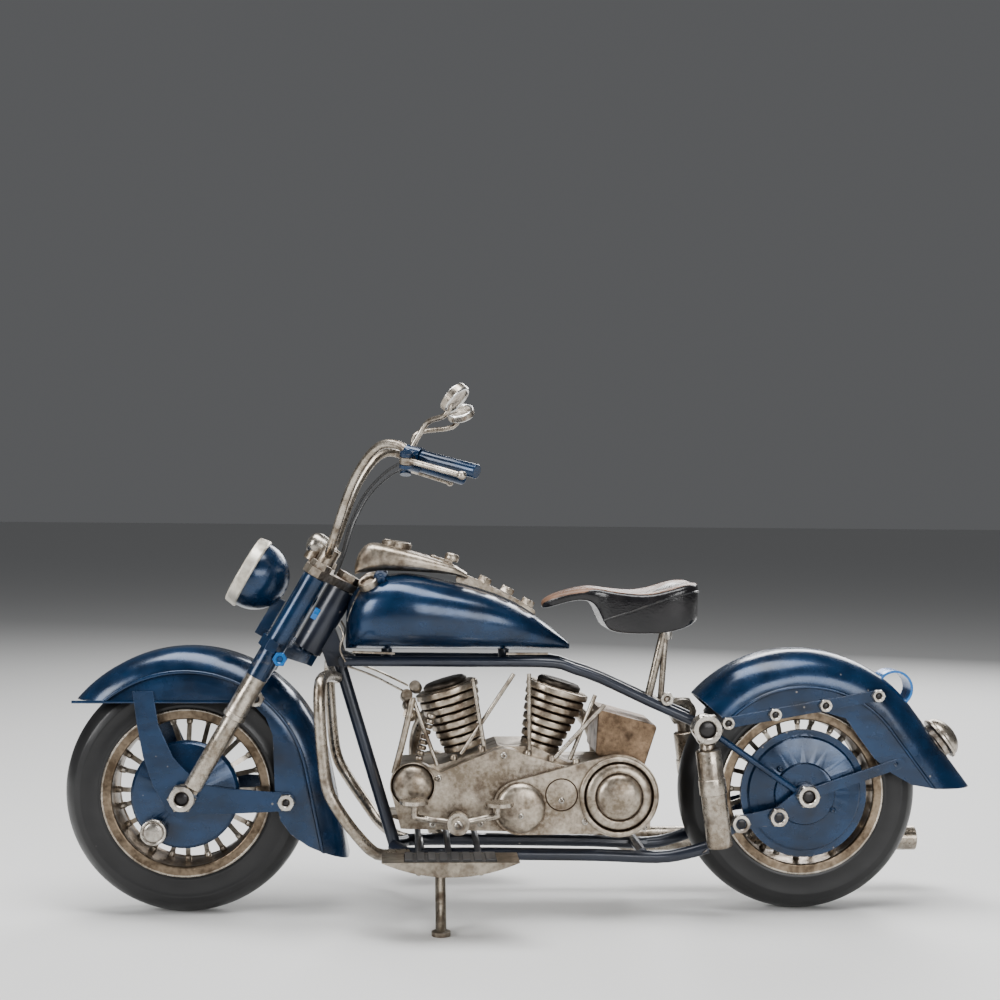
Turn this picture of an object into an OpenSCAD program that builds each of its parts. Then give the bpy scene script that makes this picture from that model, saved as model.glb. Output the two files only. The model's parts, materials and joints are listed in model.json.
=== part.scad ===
// Display motorcycle in sheet metal: a V-twin cruiser built from separate pieces.
// Front of the machine is -X, its left side is -Y, +Z is up. All lengths are in millimetres.

/* [Wheels] */
// Distance between the two axles
wheelbase = 177; // [160:1:220]
// Outside radius of both tyres
tyre_r = 35; // [32:0.5:40]
// Width of a tyre
tyre_w = 15; // [12:0.5:16]
// Radius of the rim's outer lip
rim_r = 24; // [22:0.5:26]
// Number of spokes in a wheel
spoke_count = 24; // [12:2:32]
// Diameter of one spoke
spoke_d = 1; // [0.8:0.1:1.2]
// Diameter of the axles
axle_d = 4; // [3:0.1:4.5]

/* [Front fork] */
// Rake of the fork, measured from upright
rake = 29.5; // [26:0.5:32]
// Distance between the centres of the two fork legs
fork_gap = 34; // [33:0.5:40]
// Diameter of the fork's upper covers
cover_d = 6.5; // [5.8:0.1:7]
// Diameter of the fork's lower legs
leg_d = 5.1; // [4:0.1:5.4]
// Diameter of the steering stem
stem_d = 5; // [4:0.1:5.4]
// Angle that the handlebar's grips are swept down
grip_droop = 13; // [5:1:20]
// Distance from one grip's end to the other
bar_span = 100; // [92:1:110]

/* [Mudguards] */
// Room between a tyre and the crown of its mudguard
guard_room = 6.1; // [4:0.1:11]
// Outside width of a mudguard
guard_w = 25; // [23:0.5:26]
// Thickness of the sheet
sheet = 0.8; // [0.6:0.1:1]

/* [Frame] */
// Diameter of the frame's tubes
tube_d = 3.6; // [3:0.1:4]
// Distance between the two lower frame tubes
cradle_gap = 20; // [18:0.5:22]
// Height of the lower frame tubes' centres
cradle_z = 18; // [17:0.5:20]
// Diameter of the engine guard's tube
guard_bar_d = 3.3; // [2.6:0.1:3.6]
// Distance between the outer edges of the engine guards
guard_bar_span = 63; // [56:1:70]

/* [Engine] */
// Width of the crankcase block
case_w = 20; // [18:0.5:21]
// Height of a cylinder, base to top
cylinder_h = 19; // [17:0.5:20]
// Number of cooling fins on a cylinder
fin_count = 8; // [6:1:10]
// Radius of the lowest fin
fin_low_r = 5.8; // [5:0.1:6.5]
// Radius of the highest fin
fin_top_r = 9.3; // [8:0.1:9.6]
// Radius of the clutch cover
clutch_r = 11.3; // [10:0.1:11.6]

/* [Tank and saddle] */
// Half of the tank's greatest width
tank_half_w = 16.5; // [14:0.5:18]
// Length of the tank
tank_len = 65; // [60:1:66]
// Half of the saddle's greatest width
saddle_half_w = 17; // [14:0.5:19]

/* [Footboards and stand] */
// Length of a footboard
board_len = 37; // [32:1:38]
// Width of a footboard
board_w = 13; // [11:0.5:15]
// Distance of a footboard's centre from the middle of the machine
board_y = 34; // [32:0.5:38]
// Diameter of the side stand's leg
stand_d = 3; // [2.4:0.1:3.4]

/* [Hidden] */

// places that many pieces share
run_gap = 0.06;              // radial clearance of a running fit
fit_gap = 0.05;              // radial clearance round a stud that does not turn
axle_mid_x = -7.8;           // middle between the axles
front_x = axle_mid_x - wheelbase / 2;
rear_x = axle_mid_x + wheelbase / 2;
axle_z = tyre_r;
guard_r = tyre_r + guard_room;
guard_half = guard_w / 2;
leg_y = fork_gap / 2;
cradle_y = cradle_gap / 2;
tube_r = tube_d / 2;

// ---- shapes that repeat -------------------------------------------------------------

// Straight round bar between two points
module rod(p, q, r) {
    d = q - p;
    translate(p) rotate([0, acos(d[2] / norm(d)), atan2(d[1], d[0])])
        cylinder(h = norm(d), r = r, $fn = 32);
}

// Round disc lying across the machine, between two values of y
module disc(x, z, r, y0, y1, sides = 48) {
    translate([x, y1, z]) rotate([90, 0, 0]) cylinder(h = y1 - y0, r = r, $fn = sides);
}

// Outline in x and z, extruded between two values of y
module slab(y0, y1) {
    translate([0, y1, 0]) rotate([90, 0, 0]) linear_extrude(height = y1 - y0) children();
}

// Hexagon nut lying across the machine, with its hole
module nut(x, z, flats, hole, y0, y1) {
    difference() {
        disc(x, z, flats / sqrt(3), y0, y1, 6);
        disc(x, z, hole, y0 - 1, y1 + 1);
    }
}

// A flat bar's outline between two points, with round ends
module bar_outline(p, q, w) {
    d = q - p;
    translate(p) rotate(atan2(d[1], d[0])) translate([0, -w / 2]) square([norm(d), w]);
    translate(p) circle(d = w, $fn = 32);
    translate(q) circle(d = w, $fn = 32);
}

// The same piece on the left and on the right
module both_sides() {
    children();
    mirror([0, 1, 0]) children();
}

// Smooth curve through a list of points, with n steps between two of them
function blend4(a, b, c, d, t) =
    0.5 * (2 * b + (c - a) * t + (2 * a - 5 * b + 4 * c - d) * t * t + (3 * b - a - 3 * c + d) * t * t * t);
function smooth(p, n) = concat(
    [for (i = [0 : len(p) - 2]) for (k = [0 : n - 1])
        blend4(p[max(i - 1, 0)], p[i], p[i + 1], p[min(i + 2, len(p) - 1)], k / n)],
    [p[len(p) - 1]]);
function unit(v) = v / norm(v);
function tangent(p, i) = unit(p[min(i + 1, len(p) - 1)] - p[max(i - 1, 0)]);

// Skin over a list of rings that have the same number of points
module skin(rings) {
    m = len(rings[0]);
    n = len(rings);
    sides = [for (i = [0 : n - 2]) for (j = [0 : m - 1]) for (f = [
        [i * m + j, (i + 1) * m + j, (i + 1) * m + (j + 1) % m],
        [i * m + j, (i + 1) * m + (j + 1) % m, i * m + (j + 1) % m]]) f];
    first = [for (j = [0 : m - 1]) j];
    last = [for (j = [m - 1 : -1 : 0]) (n - 1) * m + j];
    polyhedron(points = [for (r = rings) each r], faces = concat([first], sides, [last]));
}

// Round tube along a list of points; side is a direction that the route never runs along
module tube(p, r, side = [0, 0, 1], sides = 12) {
    skin([for (i = [0 : len(p) - 1])
        let (t = tangent(p, i), u = unit(cross(t, side)), v = cross(t, u))
        [for (a = [0 : sides - 1]) p[i] + r * (cos(a * 360 / sides) * u + sin(a * 360 / sides) * v)]]);
}

function power(v, k) = sign(v) * pow(abs(v), k);
// Closed oval ring across the machine: half width w, from z0 up to z1, squareness k below 1
function oval(x, w, z0, z1, k, n) = [for (j = [0 : n - 1]) let (a = j * 360 / n)
    [x, w * power(cos(a), k), (z0 + z1) / 2 + (z1 - z0) / 2 * power(sin(a), k)]];

// Half-round channel outline of a mudguard: radius outwards, width across
guard_corner = 9.2;          // radius of the mudguard's shoulders
function guard_edge(g, r_in) = concat(
    [[r_in, guard_half - g]],
    [for (a = [90 : -10 : 0]) [guard_r - guard_corner + (guard_corner - g) * cos(a),
        guard_half - guard_corner + (guard_corner - g) * sin(a)]],
    [for (a = [0 : 10 : 90]) [guard_r - guard_corner + (guard_corner - g) * cos(a),
        -guard_half + guard_corner - (guard_corner - g) * sin(a)]],
    [[r_in, -guard_half + g]]);
function backwards(p) = [for (i = [len(p) - 1 : -1 : 0]) p[i]];
guard_in_r = 22;             // where the skirts would end if they were not cut to shape
module guard_profile() {
    polygon(concat(guard_edge(0, guard_in_r), backwards(guard_edge(sheet, guard_in_r))));
}

// Mudguard about an axle: an arc from angle a1 down to a0, then a straight tail
module guard_shell(x, a0, a1, tail) {
    translate([x, 0, axle_z]) rotate([90, 0, 0]) {
        rotate([0, 0, a0]) rotate_extrude(angle = a1 - a0, $fn = 96) guard_profile();
        rotate([0, 0, a0]) rotate([90, 0, 0]) linear_extrude(height = tail) guard_profile();
    }
}

// Raised bead pressed in a mudguard's side
module guard_bead(x, a0, a1, r, tail) {
    translate([x, 0, axle_z]) rotate([90, 0, 0]) for (s = [-1, 1]) translate([0, 0, s * guard_half]) {
        rotate([0, 0, a0]) rotate_extrude(angle = a1 - a0, $fn = 96)
            translate([r, 0]) circle(r = 0.5, $fn = 16);
        rotate([0, 0, a0]) translate([r, 0, 0]) rotate([90, 0, 0]) cylinder(h = tail, r = 0.5, $fn = 16);
    }
}

// ---- frame ---------------------------------------------------------------------------

head_x = -58;                // point on the steering axis
head_z = 84;
head_len = 20;               // length of the steering head
head_r = 4.2;
down_top = [-53.5, 0, 71];
down_end = [-37, 0, cradle_z];
rail_y = 6.5;                // half distance between the top rails
rail_r = 1.5;
rail_z = 72.4;
bolt_x = 50.2;               // upper shock bolt
bolt_z = 55;

module on_steering_axis() {
    translate([head_x, 0, head_z]) rotate([0, rake, 0]) children();
}

module frame_neck() {
    color("#14171d") difference() {
        union() {
            on_steering_axis() cylinder(h = head_len, r = head_r, center = true, $fn = 48);
            rod(down_top, down_end, tube_r);
            slab(-2, 2) polygon([[-59, 76], [-57, 70.5], [-50, 70.5], [-49, 73.6], [-52.6, 75], [-56, 84]]);
            rod([-52, -rail_y, rail_z], [-52, rail_y, rail_z], rail_r + 0.3);
        }
        on_steering_axis() cylinder(h = head_len + 8, r = stem_d / 2 + run_gap, center = true, $fn = 48);
    }
}

module top_rails() {
    rail = smooth([[-52, -rail_y, rail_z], [-30, -rail_y, rail_z], [-8, -rail_y, rail_z],
        [8, -rail_y, rail_z - 0.3], [14, -rail_y, rail_z - 2], [22, -7.3, 67.6], [36, -8.8, 61.2],
        [bolt_x, -cradle_y, bolt_z]], 3);
    color("#14171d") both_sides() tube(rail, rail_r);
    color("#14171d") for (x = [-40, -6]) {
        rod([x, -rail_y, rail_z], [x, rail_y, rail_z], 0.9);
        rod([x, 0, rail_z], [x, 0, tank_bottom], 1.6);
    }
}

module cradle() {
    lower = smooth([[-37.5, -2.6, cradle_z + 0.6], [-35, -6.5, cradle_z], [-31, -cradle_y, cradle_z],
        [-10, -cradle_y, cradle_z], [20, -cradle_y, cradle_z - 0.5], [38, -cradle_y, cradle_z - 1.2],
        [46, -cradle_y - 0.8, cradle_z], [52.5, -cradle_y - 2, cradle_z + 2]], 3);
    color("#14171d") both_sides() tube(lower, tube_r);
    color("#14171d") {
        for (x = [-30, 34]) rod([x, -cradle_y, cradle_z], [x, cradle_y, cradle_z], 1.4);
        slab(-cradle_y - 1.6, -cradle_y + 0.4) polygon([[-27.4, cradle_z], [-21, cradle_z],
            [-22, stand_at[2] - 2], [-26.4, stand_at[2] - 2]]);
        disc(stand_at[0], stand_at[2], stand_pin_r, stand_at[1] - 1.7, -cradle_y);
        for (x = board_hangers) rod([x, -board_y - 3, hanger_z], [x, board_y + 3, hanger_z], hanger_r);
    }
}

stay_y = guard_half + sheet;   // outer face of the plates that lie on a mudguard's side
strap_t = 0.8;                 // thickness of a flat strap
stay_nuts = [[-8.4, -6], [-19.3, -7.8]];
stay_stud_r = 1.4;
module rear_stays() {
    color("#101d33") both_sides() difference() {
        slab(-stay_y - strap_t, -stay_y) translate([rear_x, axle_z]) {
            polygon([[-0.8, 3], [-9, -3.4], [-18.8, -5.6], [54.2 - rear_x, cradle_z + 4 - axle_z],
                [50.6 - rear_x, cradle_z + 0.6 - axle_z], [-19.4, -9.8], [-8, -8.2], [0.8, -3]]);
            circle(r = 3.4, $fn = 48);
        }
        disc(rear_x, axle_z, axle_d / 2, -20, -10);
        for (p = stay_nuts) disc(rear_x + p[0], axle_z + p[1], stay_stud_r + fit_gap, -20, -10);
    }
}

// ---- engine --------------------------------------------------------------------------

case_half = case_w / 2;
cover_y = -case_half - 4.4;   // outer face of the flat left cover
primary_y = cover_y - 2;      // outer face of the primary chain case
clutch_at = [26, 35.4];
gear_at = [-1.8, 32.2];
generator_at = [-32.2, 38.4];
plug_at = [9.8, 35.8];
pedal_at = [-19.5, 28.8];

module crankcase() {
    color("#9a9184") {
        difference() {
            slab(-case_half, case_half) polygon([[-34, 25], [36, 24.5], [37, 39], [24, 44.2], [12, 44],
                [2, 48.6], [-8, 48.6], [-24, 43.5], [-37, 43], [-38.5, 36]]);
            for (c = [[front_cyl, -cyl_lean], [rear_cyl, cyl_lean]])
                translate([c[0][0], 0, c[0][1]]) rotate([0, c[1], 0])
                    cylinder(h = cylinder_h, r = fin_low_r + fit_gap, $fn = 64);
        }
        for (x = [-29, -6, 18]) slab(-4, 4) polygon([[x, cradle_z + 6.2], [x + 5, cradle_z + 6.2],
            [x + 4.4, 26], [x + 0.6, 26]]);
    }
}

module primary_cover() {
    color("#b3aa9b") {
        slab(cover_y, -case_half) polygon([[-38.2, 36], [-36.5, 30], [-35.5, 26], [0, 25], [20, 25],
            [22, 42], [11, 43.4], [-0.8, 46.9], [-4, 48.3], [-6.6, 48.6], [-9.4, 48], [-24.6, 41.7],
            [-30, 44.5], [-34, 44]]);
        difference() {
            slab(primary_y, cover_y) {
                translate(gear_at) circle(r = 7.7, $fn = 48);
                translate(clutch_at) circle(r = clutch_r + 0.3, $fn = 64);
                polygon([[-3.2, 39.7], [22, 46.4], [30, 46.2], [30, 25], [-2, 24.5]]);
            }
            slab(primary_y - 1, primary_y + 0.5) translate(plug_at) difference() {
                circle(r = 4.7, $fn = 48);
                circle(r = 4.3, $fn = 48);
            }
        }
        turned_cap(gear_at, primary_y, concat([[0, 0], [6.9, 0], [6.9, 0.8], [6.4, 1.4]],
            [for (a = [15 : 15 : 90]) [6.2 * cos(a), 1.4 + 1 * sin(a)]]));
        disc(pedal_at[0], pedal_at[1], 2.4, pedal_y + 1.6, cover_y);
        disc(pedal_at[0], pedal_at[1], 1.2, pedal_y - 1.9, cover_y);
        disc(pedal_at[0], pedal_at[1], 2, pedal_y - 2.5, pedal_y - 1.5);
    }
}

// Pressed round cap: a stepped, domed disc turned about an axis across the machine
module turned_cap(at, y, outline) {
    translate([at[0], y, at[1]]) rotate([90, 0, 0]) rotate_extrude($fn = 96) polygon(outline);
}
function dome(r, h, from_r = 0) = [for (a = [0 : 10 : 90]) [from_r + (r - from_r) * cos(a), h * sin(a)]];

module clutch_dome() {
    color("#c2b9a9") turned_cap(clutch_at, primary_y, concat(
        [[0, 0], [clutch_r, 0], [clutch_r, 1], [clutch_r - 0.5, 1.5], [clutch_r - 1.3, 1.5],
        [clutch_r - 1.7, 1], [clutch_r - 2, 1]],
        [for (a = [0 : 15 : 90]) [6.6 + (clutch_r - 8.6) * cos(a), 1 + 1.3 * sin(a)]],
        [[6.4, 2]],
        [for (a = [15 : 15 : 90]) [6.3 * cos(a), 2 + 2.2 * sin(a)]]));
}

module generator_cap() {
    color("#c2b9a9") turned_cap(generator_at, cover_y, concat(
        [[0, 0], [6.4, 0], [6.4, 1.2], [5.9, 1.5]],
        [for (a = [0 : 15 : 90]) [5.7 * cos(a), 1.6 + 2.4 * sin(a)]]));
}

module timing_cover() {
    color("#b3aa9b") {
        slab(case_half, case_half + 3.6) {
            polygon([[-36, 27], [12, 26], [14, 40], [2, 44], [-12, 44], [-34, 42]]);
            translate([-26, 36]) circle(r = 8, $fn = 48);
        }
        mirror([0, 1, 0]) turned_cap([-6, 35], -case_half - 3.6, concat([[0, 0], [7.6, 0], [7.4, 1]],
            [for (a = [15 : 15 : 90]) [7 * cos(a), 1 + 1.4 * sin(a)]]));
    }
}

front_cyl = [-17.2, 46.6];     // foot of the front cylinder's axis
rear_cyl = [4.6, 46.6];        // foot of the rear cylinder's axis
cyl_lean = 17;                 // each cylinder leans this far from upright
fin_pitch = cylinder_h / fin_count;
module finned_barrel(at, lean) {
    translate([at[0], 0, at[1]]) rotate([0, lean, 0]) rotate_extrude($fn = 64) polygon(concat(
        [[0, 0]],
        [for (i = [0 : fin_count - 1]) let (r = fin_low_r + (fin_top_r - fin_low_r) * i / (fin_count - 1),
            z = i * fin_pitch)
            each [[r - 1.3, z], [r - 0.2, z + 0.2], [r, z + fin_pitch * 0.35],
                [r - 0.2, z + fin_pitch * 0.7], [r - 1.2, z + fin_pitch * 0.86]]],
        [[fin_top_r - 1.3, cylinder_h], [0, cylinder_h]]));
}
module front_cylinder() {
    color("#a39884") finned_barrel(front_cyl, -cyl_lean);
}
module rear_cylinder() {
    color("#a39884") finned_barrel(rear_cyl, cyl_lean);
}
module cylinder_heads() {
    color("#24221f") for (c = [[front_cyl, -cyl_lean], [rear_cyl, cyl_lean]])
        translate([c[0][0], 0, c[0][1]]) rotate([0, c[1], 0]) translate([0, 0, cylinder_h])
            rotate_extrude($fn = 48) polygon([[0, 0], [6.4, 0], [6.6, 1], [5.6, 1.9], [0, 2.2]]);
}

rod_y = -case_half - 0.9;      // plane of the pushrod tubes
rod_r = 0.6;
pushrod_ends = [[[-32.4, 62.5], [-25.2, 43.2]], [[-15.4, 68.2], [-12, 48.9]], [[-3.6, 69.4], [-18.6, 46.4]],
    [[0.6, 69.6], [0.9, 47.8]], [[19.8, 63.4], [12.6, 44.8]], [[22.4, 60.8], [8, 45.4]]];
module pushrods() {
    color("#b9b09f") for (i = [0 : len(pushrod_ends) - 1])
        let (e = pushrod_ends[i], y = rod_y - (i % 2) * 1.4)
            rod([e[1][0], y, e[1][1]], [e[0][0], y, e[0][1]], rod_r);
}

muffler_y = 22;
muffler_z = 15.6;
muffler_r = 3.7;
module exhaust_pipes() {
    front_pipe = smooth([[-24, 8.8, 56], [-28, 12.4, 55], [-31, 17, 48], [-31, 19.4, 38], [-27.4, 20.2, 27],
        [-26.2, 20.4, 22], [-24.6, 20.8, 17.4], [-20, 21.4, 15.8], [0, muffler_y, muffler_z],
        [28.4, muffler_y, muffler_z]], 4);
    rear_pipe = smooth([[13.5, 8.6, 56], [17.6, 13, 55.5], [22.6, 17.4, 48], [24.5, 20, 36],
        [26.4, muffler_y - 0.4, 25], [32, muffler_y, muffler_z + 2.8]], 4);
    color("#8d8474") {
        tube(front_pipe, 1.9, [0, 1, 0]);
        tube(rear_pipe, 1.9, [0, 1, 0]);
    }
}
module muffler() {
    color("#b9b09f") translate([28, muffler_y, muffler_z]) rotate([0, 90, 0]) rotate_extrude($fn = 64)
        polygon([[2, 0.6], [muffler_r, 5], [muffler_r, 86], [muffler_r + 0.3, 86.4],
            [muffler_r + 0.3, 88], [muffler_r, 88.4], [muffler_r, 95.5], [muffler_r - 0.7, 95.5],
            [muffler_r - 0.7, 5.4], [1.4, 1.2]]);
}

module oil_tank() {
    color("#8a7d66") difference() {
        slab(-11.5, 11.5) polygon([[20.6, 58.4], [21.4, 59.2], [37.2, 54.8], [37.6, 54], [34.2, 43.4],
            [33.4, 43], [20.6, 46], [20, 46.8]]);
        slab(-6, 6) polygon([[24, 49], [40, 46], [42, 42], [30, 40], [24, 42]]);
    }
}

// ---- tank, console and saddle ----------------------------------------------------------

tank_bottom = 75.6;
tank_front = -51.8;
// rows of the tank's shape: place along its length, half width, height of its top above the bottom
tank_rows = smooth([[0, 0.34, 10], [1.4, 0.62, 15.4], [6, 0.87, 19.6], [14, 1, 21.8], [24, 1, 21],
    [44, 0.8, 15.6], [56, 0.52, 9], [63, 0.24, 3.6], [65, 0.12, 1.8]], 3);
// g is how far inside the outer skin the rings lie
function tank_rings(g) = [for (q = tank_rows)
    oval(tank_front + g + q[0] * (tank_len - 2 * g) / 65, max(q[1] * tank_half_w - g, 0.4),
        tank_bottom + min(g, q[2] * 0.3), tank_bottom + max(q[2] - g, q[2] * 0.6), 0.74, 28)];
tank_wall = 1.2;
notch_r = 5.1;               // the tank is hollowed this far round the steering axis
module neck_notch(r) {
    on_steering_axis() translate([0, 0, -16]) cylinder(h = 44, r = r, $fn = 48);
}
module tank_half(s) {
    intersection() {
        difference() {
            skin(tank_rings(0));
            neck_notch(notch_r);
            difference() {
                skin(tank_rings(tank_wall));
                neck_notch(notch_r + tank_wall);
            }
        }
        translate([-80, s > 0 ? 0.1 : -40.1, 60]) cube([120, 40, 60]);
    }
}
module fuel_tank_left() {
    color("#174a77") tank_half(-1);
}
module fuel_tank_right() {
    color("#174a77") tank_half(1);
}

// rows of the console: x, half width, underside and top
console_rows = smooth([[-49.4, 3.4, 97, 99.6], [-48.4, 5.2, 97.4, 103], [-45.6, 6.6, 97.8, 106],
    [-41, 7.2, 98.2, 106], [-32, 7.2, 98, 103.8], [-22, 6.4, 97.2, 100.6], [-17, 4, 96, 97.8]], 3);
// height of the tank's top line at x
function tank_top(x) = tank_bottom
    + lookup((x - tank_front) * 65 / tank_len, [for (q = tank_rows) [q[0], q[2]]]);
spine_gap = 0.3;             // between the console's rear strip and the tank
spine_end = 3;               // rear end of the strip
// the strip's top: x, and height above the tank
spine_top = [[-20, 3.6], [-16, 3], [-12, 2.5], [-5.4, 1.6], [-2.4, 1.6], [0.6, 1.6], [spine_end, 1.5]];
module tank_console() {
    color("#a59a88") {
        skin([for (q = console_rows) oval(q[0], q[1], q[2], q[3], 0.6, 20)]);
        translate([-37.6, 0, 104.6]) rotate([0, 9, 0]) cylinder(h = 1.7, r = 4.4, $fn = 48);
        translate([-24.6, 0, 100.6]) rotate([0, 15, 0]) translate([-3.2, -3.4, 0]) cube([6.4, 6.8, 1.4]);
        slab(-2, 2) polygon(concat(
            [for (p = spine_top) [p[0], tank_top(p[0]) + p[1]]],
            [for (x = [spine_end : -1 : spine_top[0][0]]) [x, tank_top(x) + spine_gap]]));
    }
}

// rows of the saddle's top and of its side: x, half width, underside and top
saddle_rows = smooth([[4.8, 2.4, 87.6, 89.4], [7, 4.4, 88.2, 91], [12, 6, 89.6, 92.6], [20, 8.4, 91.2, 94],
    [26, 11.5, 91, 93.6], [33, 14.4, 90, 92.8], [38, 15.8, 90.6, 93.6], [43, 16.6, 92.4, 95.4],
    [47, 15, 93.4, 96], [49.6, 10, 94, 95.8]], 3);
saddle_f = saddle_half_w / 17;
module saddle() {
    color("#5a3a28") skin([for (q = saddle_rows) oval(q[0], q[1] * saddle_f, q[2], q[3], 0.75, 24)]);
}
skirt_rows = smooth([[21, 7.6, 87, 90.4], [23.4, 10, 81.4, 90.2], [29, 13, 80.8, 89.6],
    [36, 14.9, 80.8, 89.4], [41, 15.6, 81.4, 90.6], [45.6, 14.6, 82.8, 92.4], [49, 10, 84.8, 93.4]], 3);
module saddle_skirt() {
    color("#0f0f11") skin([for (q = skirt_rows) oval(q[0], q[1] * saddle_f, q[2], q[3], 0.7, 24)]);
}
module seat_post() {
    color("#2a2a2e") {
        rod([36.6, 0, 61], [41.2, 0, 81], 1.2);
        rod([40.4, 0, 61], [41.8, 0, 80.8], 0.9);
        rod([38.4, -9.4, 60.6], [38.4, 9.4, 60.6], 1.2);
    }
}

// ---- rear end --------------------------------------------------------------------------

module rear_fender() {
    color("#174a77") difference() {
        union() {
            guard_shell(rear_x, 37, 138, 29);
            guard_bead(rear_x, 37, 134, 31, 28.6);
        }
        slab(-20, 20) translate([rear_x, axle_z]) polygon([[-60, 10], [-34, 17], [-23, 19.2], [-9.5, 22.2],
            [5, 23.8], [11.5, 22], [15.5, 16.4], [20, 10.4], [25, 6.2], [31, 2.8], [38, 1.6], [60, 1.2],
            [60, -60], [-60, -60]]);
    }
}

upper_strap = [[-23, 20.7], [20.6, 28.6]];
lower_strap_end = [27.4, 9.2];
strap_bolts = [[-23, 20.7], [-9.4, 23.2], [5.2, 25.8], [20.6, 28.6]];
module rear_struts() {
    color("#163f68") both_sides() {
        slab(-stay_y, -guard_half) translate([rear_x, axle_z])
            bar_outline(upper_strap[0], upper_strap[1], 3.2);
        difference() {
            union() {
                slab(-stay_y, -guard_half) translate([rear_x, axle_z]) {
                    bar_outline([0, 0], lower_strap_end, 3);
                    circle(r = 2.9, $fn = 48);
                }
                rod([bolt_x + 3.6, -stay_y - 2, bolt_z - 2.4],
                    [rear_x - 3.2, -stay_y + 0.4, axle_z + 1.4], 0.95);
            }
            disc(rear_x, axle_z, axle_d / 2, -20, -10);
        }
    }
}
module strap_nuts() {
    color("#c9c1b2") both_sides() {
        for (p = strap_bolts) nut(rear_x + p[0], axle_z + p[1], 3.4, 0.9, -stay_y - 1.5, -stay_y);
        for (p = stay_nuts) nut(rear_x + p[0], axle_z + p[1], 5, stay_stud_r + fit_gap,
            -stay_y - strap_t - 1.8, -stay_y - strap_t);
    }
}

// The lamp stands square on the mudguard's tail
tail_slope = 53;
lamp_along = 14.5;             // distance down the tail from where it turns straight
module on_tail() {
    translate([rear_x, 0, axle_z]) rotate([0, tail_slope, 0]) translate([lamp_along, 0, guard_r]) children();
}
module tail_lamp() {
    color("#c9c1b2") on_tail() rotate_extrude($fn = 64) polygon(concat(
        [[0, 0.05], [5, 0.05], [5.2, 1.6], [6.6, 1.8], [6.6, 2.6]],
        [for (a = [0 : 15 : 90]) [6.2 * cos(a), 2.6 + 4 * sin(a)]]));
}
module grab_strap() {
    color("#1a76bd") slab(-4, 4) translate([rear_x, axle_z]) rotate(-44) translate([0, guard_r]) {
        difference() {
            circle(r = 5.4, $fn = 64);
            circle(r = 4.7, $fn = 64);
            translate([-8, -10.6]) square([16, 10]);
        }
        translate([-5.4, -0.7]) square([0.7, 0.8]);
        translate([4.7, -0.7]) square([0.7, 0.8]);
    }
}

shock_y = 18.6;
shock_r = 3.6;
shock_stud_r = 2.5;
shock_nut_in = shock_y + 1.2;  // inner face of the nut that holds a shock
shock_top = [bolt_x + 0.6, 50.6];
shock_end = [54.7, 21.4];
shock_tilt = atan2(shock_top[0] - shock_end[0], shock_top[1] - shock_end[1]);
shock_len = norm(shock_top - shock_end);
module rear_shocks() {
    color("#b9b09f") both_sides() difference() {
        union() {
            translate([shock_end[0], -shock_y, shock_end[1]]) rotate([0, shock_tilt, 0]) {
                rotate_extrude($fn = 48) polygon([[0, 0], [shock_r - 0.3, 0], [shock_r, 0.4],
                    [shock_r, 15], [shock_r + 0.25, 15.2], [shock_r + 0.25, 19.4], [shock_r, 19.6],
                    [shock_r, shock_len - 2], [shock_r - 0.6, shock_len - 1.6], [0, shock_len - 1.6]]);
                cylinder(h = shock_len + 2.4, r = 2.2, $fn = 32);
            }
            disc(bolt_x, bolt_z, 3.9, -shock_nut_in, -shock_y + 1.8);
            rod([shock_end[0] - 0.3, -shock_y, shock_end[1] + 3],
                [shock_end[0] - 0.3, -cradle_y - 2, cradle_z + 2.6], 1.3);
        }
        disc(bolt_x, bolt_z, shock_stud_r + fit_gap, -40, 40);
        disc(bolt_x, bolt_z, 4.8, -shock_y - 6, -shock_nut_in);
    }
}
module shock_bolt() {
    color("#c9c1b2") both_sides() {
        disc(bolt_x, bolt_z, shock_stud_r, -shock_nut_in - 2.2, -cradle_y + 0.6);
        nut(bolt_x, bolt_z, 8, shock_stud_r, -shock_nut_in - 3.2, -shock_nut_in);
    }
}

axle_nut_h = 2.6;
rear_nut_face = stay_y + strap_t + axle_nut_h;
rear_axle_end = rear_nut_face - 0.6;
module rear_axle() {
    color("#c9c1b2") {
        rod([rear_x, -rear_axle_end, axle_z], [rear_x, rear_axle_end, axle_z], axle_d / 2);
        both_sides() nut(rear_x, axle_z, 6, axle_d / 2, -rear_nut_face, -stay_y - strap_t);
    }
}
drum_y = tyre_w / 2 + 1;       // inner face of the brake drums
module rear_brake_plate() {
    color("#12365c") difference() {
        union() {
            disc(rear_x, axle_z, 18.4, -drum_y - 1.4, -drum_y, 96);
            turned_cap([rear_x, axle_z], -drum_y - 1.4,
                [[0, 0], [16.6, 0], [16, 0.6], [9, 0.9], [8.6, 1.7], [0, 1.7]]);
            disc(rear_x, axle_z, 3.4, -guard_half, -drum_y - 2);
            for (p = stay_nuts)
                disc(rear_x + p[0], axle_z + p[1], stay_stud_r, -stay_y - strap_t - 1.2, -drum_y - 1);
        }
        disc(rear_x, axle_z, axle_d / 2, -30, 0);
    }
}

// ---- footboards, guards, pedal and stand -----------------------------------------------

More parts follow.
